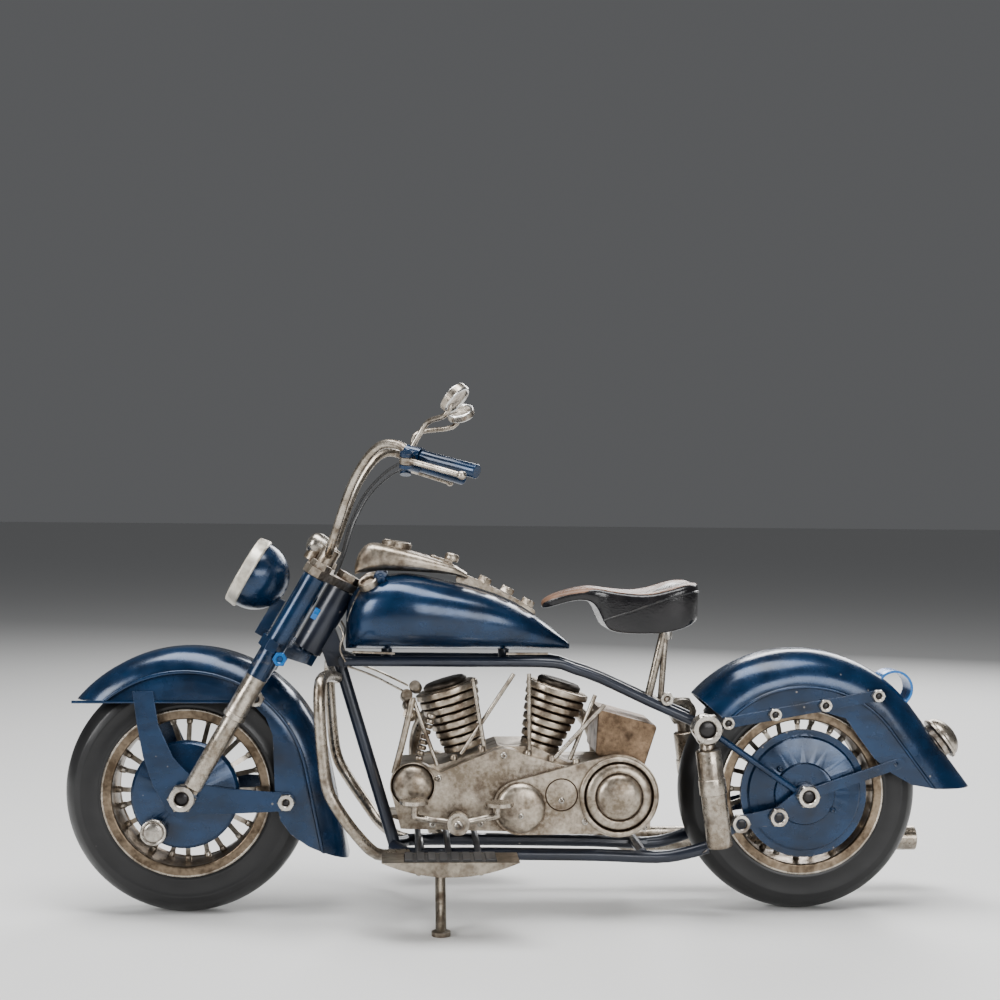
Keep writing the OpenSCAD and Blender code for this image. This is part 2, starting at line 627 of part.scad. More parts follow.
board_top = 22;
board_x = -22;
board_sag = 3.9;               // depth of the curved underside
board_curve = (board_len * board_len / 4 + board_sag * board_sag) / (2 * board_sag);
hanger_r = 0.95;
hanger_z = board_top - 2.2;
board_hangers = [-30.4, -22, -13.6];
module footboards() {
    color("#8d8474") both_sides() difference() {
        intersection() {
            disc(board_x, board_top - board_sag + board_curve, board_curve, -board_y - board_w / 2,
                -board_y + board_w / 2, 128);
            translate([board_x - board_len, -board_y - board_w, board_top - 10])
                cube([board_len * 2, board_w * 2, 10]);
        }
        translate([board_x - board_len / 2 + 6, -board_y - board_w / 2 + 1.4, board_top - 1])
            cube([board_len - 12, board_w - 2.8, 2]);
        for (x = board_hangers) disc(x, hanger_z, hanger_r, -board_y - 3, 0);
    }
}
module board_pads() {
    color("#1b1b1c") both_sides() difference() {
        translate([board_x - board_len / 2 + 6.2, -board_y - board_w / 2 + 1.6, board_top - 1])
            cube([board_len - 12.4, board_w - 3.2, 1.6]);
        for (i = [0 : 6])
            translate([board_x - board_len / 2 + 8.4 + i * 3.1, -board_y - board_w / 2, board_top + 0.2])
                cube([1, board_w, 1]);
    }
}

module engine_guards() {
    y = guard_bar_span / 2 - guard_bar_d / 2;
    bar = smooth([[-54.2, -2.2, 67.2], [-55.6, -9, 68.4], [-57, -y + 8, 69.4], [-57.8, -y + 2, 68],
        [-57.8, -y, 62], [-56.9, -y, 50], [-55.4, -y, 40], [-51.8, -y + 0.2, 33.2], [-46.4, -y + 2, 25.8],
        [-42, -y + 7, 20.8], [-37, -cradle_y - 4, 18.6], [-33.5, -cradle_y - 1, 18]], 4);
    color("#b9b09f") both_sides() tube(bar, guard_bar_d / 2, [1, 0, 0.2]);
}

pedal_y = primary_y - 5.4;       // plane of the rocker pedal's bar
boss_r = 3.1;
module rocker_pedal() {
    color("#b9b09f") {
        difference() {
            disc(pedal_at[0], pedal_at[1], boss_r, pedal_y - 1.3, pedal_y + 1.3);
            disc(pedal_at[0], pedal_at[1], 1.2 + run_gap, pedal_y - 5, pedal_y + 5);
        }
        difference() {
            union() {
                rod([pedal_at[0], pedal_y, pedal_at[1]], [-31.6, pedal_y, 30.6], 0.9);
                rod([pedal_at[0], pedal_y, pedal_at[1]], [-8.6, pedal_y, 31], 0.9);
            }
            disc(pedal_at[0], pedal_at[1], boss_r - 0.4, pedal_y - 5, pedal_y + 5);
        }
        rod([-31.6, pedal_y, 30.2], [-31.6, pedal_y, 35.2], 0.9);
        rod([-8.6, pedal_y, 30.6], [-8.6, pedal_y, 34.6], 0.9);
        translate([-31.8, pedal_y - 2.4, 34.8]) cylinder(h = 1, r = 4, $fn = 48);
        translate([-8.2, pedal_y - 2.4, 34.2]) cylinder(h = 1, r = 4, $fn = 48);
    }
}

stand_at = [-24.2, -cradle_y - 3.2, cradle_z - 3.4];
stand_foot = [-24.2, -30, 0];
stand_pin_r = 1;
module side_stand() {
    color("#6b675f") difference() {
        union() {
            intersection() {
                rod(stand_at, stand_foot + (stand_foot - stand_at) * 0.2, stand_d / 2);
                translate([-60, -60, 0]) cube([80, 60, 40]);
            }
            disc(stand_at[0], stand_at[2], 2.4, stand_at[1] - 1.2, stand_at[1] + 1.2);
            translate([stand_foot[0], stand_foot[1], 0]) cylinder(h = 1.2, r = 2.6, $fn = 48);
        }
        disc(stand_at[0], stand_at[2], stand_pin_r + run_gap, -40, 0);
    }
}

// ---- steering ----------------------------------------------------------------------------

leg_back = -8.2;               // legs lie this far ahead of the steering axis
clamp_low_z = -head_len / 2 - 3.6;
clamp_top_z = head_len / 2 + 0.4;
cover_r = cover_d / 2;
leg_r = leg_d / 2;
cover_low = -22;
cover_top = 10.3;

module clamp_plate(z, h) {
    translate([0, 0, z]) difference() {
        union() {
            linear_extrude(height = h) polygon([[2, -4], [3.6, -2.6], [3.6, 2.6], [2, 4],
                [leg_back + 1, leg_y + 4.6], [leg_back - 2, leg_y + 4.6],
                [leg_back - 4.4, leg_y], [leg_back - 4.4, -leg_y],
                [leg_back - 2, -leg_y - 4.6], [leg_back + 1, -leg_y - 4.6]]);
        }
        for (s = [-1, 1]) translate([leg_back, s * leg_y, -1]) cylinder(h = h + 2, r = cover_r, $fn = 48);
    }
}
module steering_stem() {
    color("#174a77") on_steering_axis() {
        clamp_plate(clamp_low_z, 3.2);
        translate([0, 0, clamp_low_z]) cylinder(h = clamp_top_z - clamp_low_z, r = stem_d / 2, $fn = 48);
        translate([leg_back - 7.4, -1.6, clamp_low_z + 0.4]) cube([4, 3.2, 2.4]);
    }
}
module upper_clamp() {
    color("#c2b9a9") on_steering_axis() {
        translate([0, 0, clamp_top_z]) difference() {
            linear_extrude(height = 2.4) polygon([[2, -4], [3.6, -2.6], [3.6, 2.6], [2, 4],
                [leg_back + 1, leg_y + 3.4], [leg_back - 2, leg_y + 3.4],
                [leg_back - 4, leg_y], [leg_back - 4, -leg_y],
                [leg_back - 2, -leg_y - 3.4], [leg_back + 1, -leg_y - 3.4]]);
            translate([0, 0, -1]) cylinder(h = 2.2, r = 1.2, $fn = 24);
        }
        for (s = [-1, 1])
            translate([leg_back, s * leg_y, clamp_top_z + 2.4]) cylinder(h = 1.8, r = 3.2, $fn = 6);
        translate([0, 0, clamp_top_z + 2.4]) cylinder(h = 2, r = 3.6, $fn = 6);
        for (s = [-1, 1]) translate([leg_back, s * 6, clamp_top_z + 2.4]) difference() {
            cylinder(h = bar_rise + 1.6, r = 2.6, $fn = 48);
            translate([0, 0, bar_rise]) rotate([90, 0, 0])
                cylinder(h = 8, r = bar_r, center = true, $fn = 32);
        }
        translate([leg_back - 3.4, 0, clamp_top_z + 2.4]) cylinder(h = 4, r = 3, $fn = 48);
    }
}
module fork_covers() {
    color("#174a77") on_steering_axis() for (s = [-1, 1])
        translate([leg_back, s * leg_y, cover_low]) difference() {
            cylinder(h = cover_top - cover_low, r = cover_r, $fn = 48);
            translate([0, 0, -1]) cylinder(h = 11, r = leg_r + 0.3, $fn = 48);
        }
}
// the axle seen from the steering axis
axle_along = (front_x - head_x) * sin(rake) + (axle_z - head_z) * cos(rake);
leg_low = axle_along + 4.2;
tab_y = stay_y + 1.7;          // outer face of the flat eye at the foot of a leg
module fork_legs() {
    color("#c2b9a9") both_sides() difference() {
        union() {
            on_steering_axis() translate([leg_back, -leg_y, 0]) {
                translate([0, 0, leg_low]) cylinder(h = cover_low + 8 - leg_low, r = leg_r, $fn = 48);
                translate([0, 0, cover_low - 12]) cylinder(h = 12, r = leg_r + 0.45, $fn = 48);
                translate([0, 0, cover_low - 13]) cylinder(h = 1.4, r = leg_r + 0.7, $fn = 48);
            }
            slab(-tab_y, -stay_y) {
                translate([front_x, axle_z]) circle(r = 3.6, $fn = 48);
                translate([head_x, head_z]) rotate(-rake) translate([leg_back, 0])
                    polygon([[-2.4, axle_along], [2, axle_along - 1], [2, leg_low + 5], [-2, leg_low + 5]]);
            }
        }
        disc(front_x, axle_z, axle_d / 2, -30, 0);
        slab(-stay_y + 0.01, 0) translate([front_x, axle_z]) square(30, center = true);
    }
}
front_nut_face = tab_y + 3.2;
front_axle_end = front_nut_face - 0.7;
module front_axle() {
    color("#c9c1b2") {
        rod([front_x, -front_axle_end, axle_z], [front_x, front_axle_end, axle_z], axle_d / 2);
        both_sides() nut(front_x, axle_z, 7, axle_d / 2, -front_nut_face, -tab_y);
    }
}
module front_fender() {
    color("#174a77") difference() {
        union() {
            guard_shell(front_x, 12, 142, 28.6);
            guard_bead(front_x, 12, 138, 34.8, 28.2);
        }
        slab(-20, 20) translate([front_x, axle_z]) polygon([[-60, 26.4], [14, 26.4], [19, 25.6], [22.6, 22],
            [24.6, 17], [25.4, 0], [27, -7], [30, -11], [35, -14.4], [42, -17.4], [47, -19.4], [60, -19.4],
            [60, -60], [-60, -60]]);
    }
}
front_stay_nuts = [[28.6, -1.8], [-11.6, 28.2]];
module front_stays() {
    color("#174a77") both_sides() difference() {
        slab(-stay_y, -guard_half) translate([front_x, axle_z]) {
            circle(r = 6.2, $fn = 48);
            polygon([[-14.6, 29.4], [-8.8, 29.4], [-7.2, 20], [-3, 11], [2, 5.6], [5, 3.4], [12, 2.2],
                [28.6, 0.9], [28.6, -4.3], [12, -5], [4, -5],
                [-4.8, -3.8], [-8.4, 2.6], [-11.4, 11], [-13.2, 20]]);
            translate([28.6, -1.7]) circle(r = 2.6, $fn = 48);
        }
        disc(front_x, axle_z, axle_d / 2, -20, -10);
    }
}
module front_brake_drum() {
    color("#12365c") difference() {
        union() {
            turned_cap([front_x, axle_z], -drum_y, [[0, 0], [15.2, 0], [15.2, 1.6], [14.4, 2.4], [9, 3],
                [0, guard_half - drum_y]]);
            disc(front_x, axle_z, 3.4, -guard_half, -drum_y - 2);
        }
        disc(front_x, axle_z, axle_d / 2, -30, 0);
    }
    color("#c2b9a9") disc(front_x - 8.2, axle_z - 10, 3.7, -stay_y, -drum_y - 1.4);
}

lamp_z = 1;                    // the headlight's centre, seen from the steering axis
lamp_front = -26;
lamp_r = 10.7;
module on_headlight() {
    on_steering_axis() translate([lamp_front, 0, lamp_z]) rotate([0, 90, 0]) children();
}
module headlight_shell() {
    color("#174a77") {
        on_headlight() rotate_extrude($fn = 96) polygon(concat(
            [[0, 11], [0, 12.2]],
            [for (a = [85 : -10 : 5]) [(lamp_r - 0.7) * cos(a), 2 + 10.2 * sin(a)]],
            [[lamp_r - 0.7, 1.4], [lamp_r - 1.7, 1.4]],
            [for (a = [5 : 10 : 85]) [(lamp_r - 1.7) * cos(a), 2 + 9 * sin(a)]]));
        on_steering_axis() translate([leg_back - 7.4, -1.6, clamp_low_z + 2.8]) cube([3.2, 3.2, 9.6]);
    }
}
module headlight_lens() {
    color("#d9d2bf") on_headlight() rotate_extrude($fn = 96) polygon(concat(
        [[0, 1.3], [lamp_r, 1.3], [lamp_r, -1.3], [lamp_r - 1, -1.9], [lamp_r - 2.2, -1.4]],
        [for (a = [10 : 10 : 80]) [(lamp_r - 2.2) * cos(a), -1 - 1.2 * sin(a)]], [[0, -2.2]]));
}

// ---- handlebar ---------------------------------------------------------------------------

bar_r = 1.25;
bar_rise = 4.4;                // height of the bar's centre above the clamp
bar_seat = [head_x + leg_back * cos(rake) + (clamp_top_z + 2.4 + bar_rise) * sin(rake), 0,
    head_z - leg_back * sin(rake) + (clamp_top_z + 2.4 + bar_rise) * cos(rake)];
grip_end = [-16.4, -bar_span / 2, 126];
grip_aim = unit([cos(34) * cos(grip_droop), -sin(34) * cos(grip_droop), -sin(grip_droop)]);
grip_len = 20;
grip_start = grip_end - grip_aim * grip_len;
module handlebar() {
    half = smooth([bar_seat, bar_seat + [0, -9, 0], bar_seat + [1.4, -14, 4], [-50.6, -21, 121],
        [-46, -27, 129.4], [-41.6, -31.6, 133.4], [-36.8, -35.6, 133.2], grip_start,
        grip_end - grip_aim * 2], 4);
    both = concat([for (i = [len(half) - 1 : -1 : 1]) [half[i][0], -half[i][1], half[i][2]]], half);
    color("#c2b9a9") tube(both, bar_r, [1, 0, -0.35]);
}
grip_r = 1.9;
module grips() {
    color("#174a77") both_sides() difference() {
        rod(grip_start + grip_aim * 2.4, grip_end, grip_r);
        rod(grip_start, grip_end - grip_aim * 1.6, bar_r);
    }
}
// the levers lie in front of the grips and pivot on pins square to them
lever_out = unit([-0.5, -0.8, -0.25]);
lever_turn = unit(cross(lever_out, grip_aim));   // a squeeze turns the left lever this way
lever_reach = 5.2;             // from the grip's centre to the lever's pin
lever_len = 18;
lever_pin = grip_start + grip_aim * 0.4 + lever_out * lever_reach;
pin_r = 0.6;
module across(p, h, r) {
    rod(p - lever_turn * h / 2, p + lever_turn * h / 2, r);
}
module control_bodies() {
    color("#173a5e") both_sides() difference() {
        union() {
            rod(grip_start - grip_aim * 2.6, grip_start + grip_aim * 2.2, 2.4);
            difference() {
                union() {
                    rod(grip_start + grip_aim * 0.4, lever_pin, 1.7);
                    across(lever_pin, 4.2, 1.8);
                }
                across(lever_pin, 2.2, 2.6);
            }
            across(lever_pin, 4.2, pin_r);
        }
        rod(grip_start - grip_aim * 6, grip_start + grip_aim * 6, bar_r);
    }
}
module lever() {
    tip = lever_pin + grip_aim * lever_len + lever_out * 0.4;
    difference() {
        union() {
            across(lever_pin, 1.8, 1.8);
            rod(lever_pin, tip, 0.8);
            translate(tip) sphere(r = 1.2, $fn = 24);
        }
        across(lever_pin, 6, pin_r + run_gap);
    }
}
module clutch_lever() {
    color("#c2b9a9") lever();
}
module brake_lever() {
    color("#c2b9a9") mirror([0, 1, 0]) lever();
}

mirror_r = 4.4;
// left and right mirror, each bent to its own angle: centre, then the way that its face looks
mirror_set = [[[-22.3, -46, 145.4], [0.69, -0.33, -0.64]], [[-17.6, 46, 147], [0.24, 0.5, -0.83]]];
module mirrors() {
    color("#c2b9a9") for (i = [0, 1]) let (s = i * 2 - 1, c = mirror_set[i][0], f = unit(mirror_set[i][1]),
        base = grip_start - grip_aim * 1.2 + [0, 0, 1.6], foot = [base[0], -s * base[1], base[2]]) {
        tube(smooth([foot, foot + [1.8 - 1.4 * i, s * 0.8, 3.2], foot + [4.4 - 2 * i, s * 2.4, 7 + i],
            c - [2.4, 0, 4.4], c - f * 0.4], 4), 0.75, [0.2, 1, 0]);
        translate(c) rotate([0, acos(f[2]), atan2(f[1], f[0])])
            cylinder(h = 1.6, r = mirror_r, center = true, $fn = 48);
    }
}

cable_r = 0.4;
module control_cables() {
    cable = smooth([[-35.6, -36.4, 129], [-41, -32, 125.6], [-46.6, -24, 119.4], [-50.4, -16.6, 111.6],
        [-52.4, -12, 104.4], [-54, -10.2, 99.6], [-54.9, -9.8, 97.3]], 4);
    color("#151518") both_sides() tube(cable, cable_r, [1, 0, 0], 8);
}

// ---- wheels ------------------------------------------------------------------------------

rim_seat_r = rim_r - 1.6;       // where the tyre sits on the rim
module tyre(x) {
    translate([x, 0, axle_z]) rotate([90, 0, 0]) rotate_extrude($fn = 128) intersection() {
        translate([tyre_r - tyre_w * 0.6, 0]) circle(r = tyre_w * 0.6, $fn = 64);
        translate([rim_seat_r, -tyre_w / 2]) square([tyre_r, tyre_w]);
    }
}
module rim(x) {
    h = tyre_w / 2;
    translate([x, 0, axle_z]) rotate([90, 0, 0]) rotate_extrude($fn = 96) polygon([
        [rim_r - 3.6, -2.4], [rim_r - 3.6, 2.4], [rim_r - 2.8, h - 1.2], [rim_r - 3.2, h + 0.5],
        [rim_r - 0.2, h + 0.6], [rim_r, h], [rim_seat_r, h],
        [rim_seat_r, -h], [rim_r, -h], [rim_r - 0.2, -h - 0.6],
        [rim_r - 3.2, -h - 0.5], [rim_r - 2.8, -h + 1.2]]);
}
hub_r = 5.2;
hub_half = tyre_w / 2 + 0.4;
module spokes(x) {
    translate([x, 0, axle_z]) difference() {
        union() {
            rotate([90, 0, 0]) cylinder(h = hub_half * 2, r = hub_r - 1.4, center = true, $fn = 48);
            for (s = [-1, 1]) translate([0, s * (hub_half - 1.6), 0]) rotate([90, 0, 0])
                cylinder(h = 1.4, r = hub_r, center = true, $fn = 48);
            for (i = [0 : spoke_count - 1]) let (s = i % 2 * 2 - 1, a = i * 360 / spoke_count)
                rod([3 * cos(a), s * (hub_half - 1.6), 3 * sin(a)],
                    [(rim_r - 3.4) * cos(a), s * 1.2, (rim_r - 3.4) * sin(a)], spoke_d / 2);
        }
        rotate([90, 0, 0]) cylinder(h = 40, r = axle_d / 2 + run_gap, center = true, $fn = 48);
    }
}
module front_tyre() {
    color("#161616") tyre(front_x);
}
module front_rim() {
    color("#8d8474") rim(front_x);
}
module front_spokes() {
    color("#a89d8b") spokes(front_x);
}
module rear_tyre() {
    color("#161616") tyre(rear_x);
}
module rear_rim() {
    color("#8d8474") rim(rear_x);
}
module rear_spokes() {
    color("#a89d8b") spokes(rear_x);
}

frame_neck();
top_rails();
cradle();
rear_stays();
fuel_tank_left();
fuel_tank_right();
tank_console();
crankcase();
primary_cover();
clutch_dome();
generator_cap();
timing_cover();
front_cylinder();
rear_cylinder();
cylinder_heads();
pushrods();
exhaust_pipes();
muffler();
oil_tank();
saddle();
saddle_skirt();
seat_post();
rear_fender();
rear_struts();
strap_nuts();
tail_lamp();
grab_strap();
rear_shocks();
shock_bolt();
rear_axle();
rear_brake_plate();
footboards();
board_pads();
engine_guards();
steering_stem();
upper_clamp();
fork_covers();
fork_legs();
front_axle();
front_fender();
front_stays();
front_brake_drum();
headlight_shell();
headlight_lens();
handlebar();
grips();
control_bodies();
mirrors();
control_cables();
front_tyre();
front_rim();
front_spokes();
rear_tyre();
rear_rim();
rear_spokes();
rocker_pedal();
side_stand();
clutch_lever();
brake_lever();
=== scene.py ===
"""A hand-built tin cruiser motorcycle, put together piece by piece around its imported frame."""
import json
from math import atan2, cos, pi, radians, sin

import bmesh
import bpy
from mathutils import Matrix, Vector


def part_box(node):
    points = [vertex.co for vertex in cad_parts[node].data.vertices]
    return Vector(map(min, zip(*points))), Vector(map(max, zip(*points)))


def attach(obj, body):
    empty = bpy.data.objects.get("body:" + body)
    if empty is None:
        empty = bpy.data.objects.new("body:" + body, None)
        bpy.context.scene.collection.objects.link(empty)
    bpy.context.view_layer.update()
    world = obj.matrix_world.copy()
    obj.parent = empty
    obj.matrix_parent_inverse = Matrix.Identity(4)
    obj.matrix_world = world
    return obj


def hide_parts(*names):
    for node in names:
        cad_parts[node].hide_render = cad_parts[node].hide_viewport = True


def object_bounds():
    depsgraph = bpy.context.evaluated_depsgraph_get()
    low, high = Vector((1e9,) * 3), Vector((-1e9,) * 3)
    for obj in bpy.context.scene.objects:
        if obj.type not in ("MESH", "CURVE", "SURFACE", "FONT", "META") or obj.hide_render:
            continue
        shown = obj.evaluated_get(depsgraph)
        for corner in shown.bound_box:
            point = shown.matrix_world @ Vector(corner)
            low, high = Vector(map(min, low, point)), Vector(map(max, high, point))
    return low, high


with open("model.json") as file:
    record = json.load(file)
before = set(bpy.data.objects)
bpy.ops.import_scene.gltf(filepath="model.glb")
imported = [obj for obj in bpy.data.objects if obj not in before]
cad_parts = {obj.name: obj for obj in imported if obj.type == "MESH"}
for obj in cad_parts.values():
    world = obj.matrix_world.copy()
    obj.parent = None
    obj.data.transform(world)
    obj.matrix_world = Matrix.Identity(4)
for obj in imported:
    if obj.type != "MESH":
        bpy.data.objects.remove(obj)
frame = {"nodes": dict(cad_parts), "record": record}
packed_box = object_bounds()
MM = 0.001

# ---- The bench: camera, floor and lamps ------------------------------------------------------
# The machine stands on a plain pale bench. The camera looks level at its left side from just
# ahead of the saddle. Broad soft lamps stand above, in front and behind; none is coloured.

eye = Vector((-35.3, -466.9, 115.8)) * MM
gaze = Vector((0.0597, 0.9982, 0.0069))
camera_up = Vector((-0.0093, -0.0064, 1.0))
camera = bpy.data.objects.new("bench_camera", bpy.data.cameras.new("bench_camera"))
bpy.context.scene.collection.objects.link(camera)
side = gaze.cross(camera_up).normalized()
camera.matrix_world = Matrix.Translation(eye) @ Matrix(
    (side, side.cross(gaze), -gaze)).transposed().to_4x4()
camera.data.lens = 57.6
camera.data.clip_start = 10 * MM
bpy.context.scene.camera = camera


def soft_lamp(name, place, target, size, watts):
    lamp = bpy.data.objects.new(name, bpy.data.lights.new(name, "AREA"))
    lamp.data.shape = "RECTANGLE"
    lamp.data.size, lamp.data.size_y = size
    lamp.data.energy = watts
    lamp.location = Vector(place)
    lamp.rotation_euler = (Vector(target) - lamp.location).to_track_quat("-Z", "Y").to_euler()
    bpy.context.scene.collection.objects.link(lamp)
    return lamp


middle = (0, 0, packed_box[1][2] / 2)
soft_lamp("overhead_lamp", (-0.05, -0.06, 0.62), middle, (0.70, 0.26), 7.0)
soft_lamp("front_lamp", (-0.62, -0.40, 0.34), middle, (0.26, 0.36), 4.2)
soft_lamp("side_lamp", (0.28, -0.72, 0.22), middle, (0.50, 0.22), 3.2)
soft_lamp("back_lamp", (0.30, 0.62, 0.42), middle, (0.52, 0.30), 5.0)
sky = bpy.data.worlds.new("studio_walls")
sky.use_nodes = True
sky.node_tree.nodes["Background"].inputs["Color"].default_value = (0.52, 0.53, 0.55, 1)
sky.node_tree.nodes["Background"].inputs["Strength"].default_value = 0.20
bpy.context.scene.world = sky

bench = bmesh.new()
bmesh.ops.create_grid(bench, x_segments=1, y_segments=1, size=12.0)
bench_mesh = bpy.data.meshes.new("bench_top")
bench.to_mesh(bench_mesh)
bench.free()
bench_top = bpy.data.objects.new("bench_top", bench_mesh)
bpy.context.scene.collection.objects.link(bench_top)
pale = bpy.data.materials.new("pale_bench")
pale.use_nodes = True
pale.node_tree.nodes["Principled BSDF"].inputs["Base Color"].default_value = (0.74, 0.74, 0.73, 1)
pale.node_tree.nodes["Principled BSDF"].inputs["Roughness"].default_value = 0.6
bench_mesh.materials.append(pale)

# ---- The frame -------------------------------------------------------------------------------
# Steel tubes brazed into a neck, two top rails and a cradle, with flat stays at the rear axle.
# It is brushed with black enamel, which has chipped where the tubes have been handled.


class Finish:
    """A finish being mixed. Every pattern in it lies in the piece's own coordinates."""

    def __init__(self, name, numbers):
        self.material = bpy.data.materials.new(name)
        self.material["slot"] = name
        self.material.use_nodes = True
        self.tree = self.material.node_tree
        self.shader = self.tree.nodes["Principled BSDF"]
        self.place = self.add("ShaderNodeTexCoord", {}).outputs["Object"]
        for socket, value in numbers.items():
            self.shader.inputs[socket].default_value = value

    def add(self, kind, inputs, **settings):
        made_node = self.tree.nodes.new(kind)
        for name, value in settings.items():
            setattr(made_node, name, value)
        for socket, value in inputs.items():
            if isinstance(value, bpy.types.NodeSocket):
                self.tree.links.new(value, made_node.inputs[socket])
            else:
                made_node.inputs[socket].default_value = value
        return made_node

    def stretched(self, scale):
        return self.add("ShaderNodeMapping", {"Vector": self.place, "Scale": scale}).outputs[0]

    def noise(self, grain, detail=4.0, place=None):
        """Cloudy pattern whose patches are about grain metres across."""
        inputs = {"Vector": place or self.place, "Scale": 1 / grain, "Detail": detail}
        return self.add("ShaderNodeTexNoise", inputs).outputs["Fac"]

    def spots(self, grain):
        """Distance from scattered points about grain metres apart."""
        inputs = {"Vector": self.place, "Scale": 1 / grain}
        return self.add("ShaderNodeTexVoronoi", inputs).outputs["Distance"]

    def ramp(self, amount, *stops):
        made_ramp = self.add("ShaderNodeValToRGB", {"Fac": amount})
        for i, (at, colour) in enumerate(stops):
            if i > 1:
                made_ramp.color_ramp.elements.new(at)
            stop = made_ramp.color_ramp.elements[i]
            stop.position = at
            stop.color = (*colour, 1) if isinstance(colour, tuple) else (colour, colour, colour, 1)
        return made_ramp.outputs["Color"]

    def sum(self, kind, a, b=0.0, limit=False):
        return self.add("ShaderNodeMath", {0: a, 1: b}, operation=kind, use_clamp=limit).outputs[0]

    def mix(self, amount, a, b, kind="MIX"):
        inputs = {0: amount, 6: a, 7: b}
        return self.add("ShaderNodeMix", inputs, data_type="RGBA", blend_type=kind).outputs[2]

    def hollows(self, reach):
        """1 in the open, falling to 0 in a hollow narrower than reach."""
        return self.add("ShaderNodeAmbientOcclusion", {"Distance": reach},
                        samples=6, only_local=True).outputs["AO"]

    def corners(self, reach):
        """1 on a broad face, falling to 0 at an outside corner."""
        return self.add("ShaderNodeAmbientOcclusion", {"Distance": reach},
                        samples=6, inside=True, only_local=True).outputs["AO"]

    def relief(self, height, depth):
        """Raises the surface by depth metres where height is 1. Calls add up."""
        inputs = {"Height": height, "Distance": depth, "Strength": 1.0}
        if self.shader.inputs["Normal"].links:
            inputs["Normal"] = self.shader.inputs["Normal"].links[0].from_socket
        self.set("Normal", self.add("ShaderNodeBump", inputs).outputs["Normal"])

    def set(self, socket, value):
        self.tree.links.new(value, self.shader.inputs[socket])


def enamel(name, dark, light, worn, shine, metallic, wear=0.5):
    """Brushed-on paint over metal: clouded colour, painted shade darkening the hollows, rubbed off at the
    corners.
    """
    paint = Finish(name, {"Metallic": metallic, "Coat Weight": 0.22, "Coat Roughness": 0.16})
    clouds = paint.noise(11 * MM, 5)
    strokes = paint.noise(3.5 * MM, 3, paint.stretched((0.35, 1, 1)))
    depth = paint.mix(0.35, clouds, strokes)
    colour = paint.ramp(depth, (0.34, dark), (0.66, light))
    # painted shade: the colour of every enamelled piece is darkened in its hollows, where shade falls
    shade = paint.ramp(paint.hollows(2.2 * MM), (0.25, 0.22), (0.9, 1.0))
    colour = paint.mix(1.0, colour, shade, "MULTIPLY")
    rubbed = paint.ramp(paint.corners(0.5 * MM), (0.42, 1.0), (0.66, 0.0))
    patchy = paint.ramp(paint.noise(2.2 * MM, 6), (0.62 - 0.22 * wear, 0.0), (0.74 - 0.22 * wear, 1.0))
    chips = paint.ramp(paint.spots(6.5 * MM), (0.035, 1.0), (0.06, 0.0))
    bare = paint.sum("MAXIMUM", paint.sum("MULTIPLY", rubbed, patchy), paint.sum("MULTIPLY", chips, 0.7))
    colour = paint.mix(bare, colour, (*worn, 1))
    paint.set("Base Color", colour)
    gloss = paint.ramp(paint.noise(5 * MM, 6), (0.3, shine), (0.75, shine + 0.16))
    paint.set("Roughness", paint.sum("ADD", gloss, paint.sum("MULTIPLY", bare, 0.12)))
    paint.relief(paint.noise(9 * MM, 2), 0.16 * MM)
    paint.relief(strokes, 0.035 * MM)
    paint.relief(paint.noise(0.5 * MM, 2), 0.008 * MM)
    return paint.material


BARE_TIN = (0.24, 0.21, 0.18)
black_paint = enamel("black_paint", (0.004, 0.006, 0.012), (0.012, 0.017, 0.032), BARE_TIN, 0.28, 0.25)

rides = {n: body for body, ns in frame["record"]["behaviour"]["bodies"].items() for n in ns}


def made(name, work, finish, nodes, body=None, crease=35, edge=0.0, soft=0):
    """Turns a bmesh into a piece that rides on a body and stands for the named nodes."""
    mesh = bpy.data.meshes.new(name)
    work.to_mesh(mesh)
    work.free()
    mesh.materials.append(finish)
    mesh.shade_smooth()
    mesh.set_sharp_from_angle(angle=radians(crease))
    piece = bpy.data.objects.new(name, mesh)
    bpy.context.scene.collection.objects.link(piece)
    if edge:
        broken = piece.modifiers.new("broken_edges", "BEVEL")
        broken.width = edge
        broken.segments = 2
        broken.limit_method = "ANGLE"
        broken.angle_limit = radians(crease)
        broken.harden_normals = True
    if soft:
        smooth = piece.modifiers.new("smoothed", "SUBSURF")
        smooth.levels = smooth.render_levels = soft
    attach(piece, body or rides[nodes[0]])
    if nodes:
        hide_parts(*nodes)
    return piece


def from_solid(node, finish, edge=0.12 * MM, crease=35, soft=0):
    """A sawn, pressed or cast piece: its own solid, faces joined up and sharp edges broken."""
    work = bmesh.new()
    work.from_mesh(frame["nodes"][node].data)
    bmesh.ops.remove_doubles(work, verts=work.verts, dist=0.002 * MM)
    bmesh.ops.dissolve_degenerate(work, edges=work.edges, dist=0.001 * MM)
    bmesh.ops.dissolve_limit(work, angle_limit=radians(0.6), verts=work.verts, edges=work.edges)
    if soft:
        bmesh.ops.triangulate(work, faces=[f for f in work.faces if len(f.verts) > 4])
        bmesh.ops.join_triangles(work, faces=work.faces, angle_face_threshold=radians(30),
                                 angle_shape_threshold=radians(60))
        held = work.edges.layers.float.new("crease_edge")
        for e in work.edges:
            if len(e.link_faces) == 2 and e.calc_face_angle() > radians(crease):
                e[held] = 1.0
    return made(node + "_worked", work, finish, [node], crease=crease, edge=0 if soft else edge,
                soft=soft)


from_solid("frame_neck", black_paint)
from_solid("top_rails", black_paint, edge=0)
from_solid("cradle", black_paint, edge=0)

NAVY_DEEP = (0.0007, 0.0070, 0.021)
NAVY_LIGHT = (0.0024, 0.028, 0.082)
blue_paint = enamel("blue_paint", NAVY_DEEP, NAVY_LIGHT, BARE_TIN, 0.17, 0.42)
from_solid("rear_stays", blue_paint)

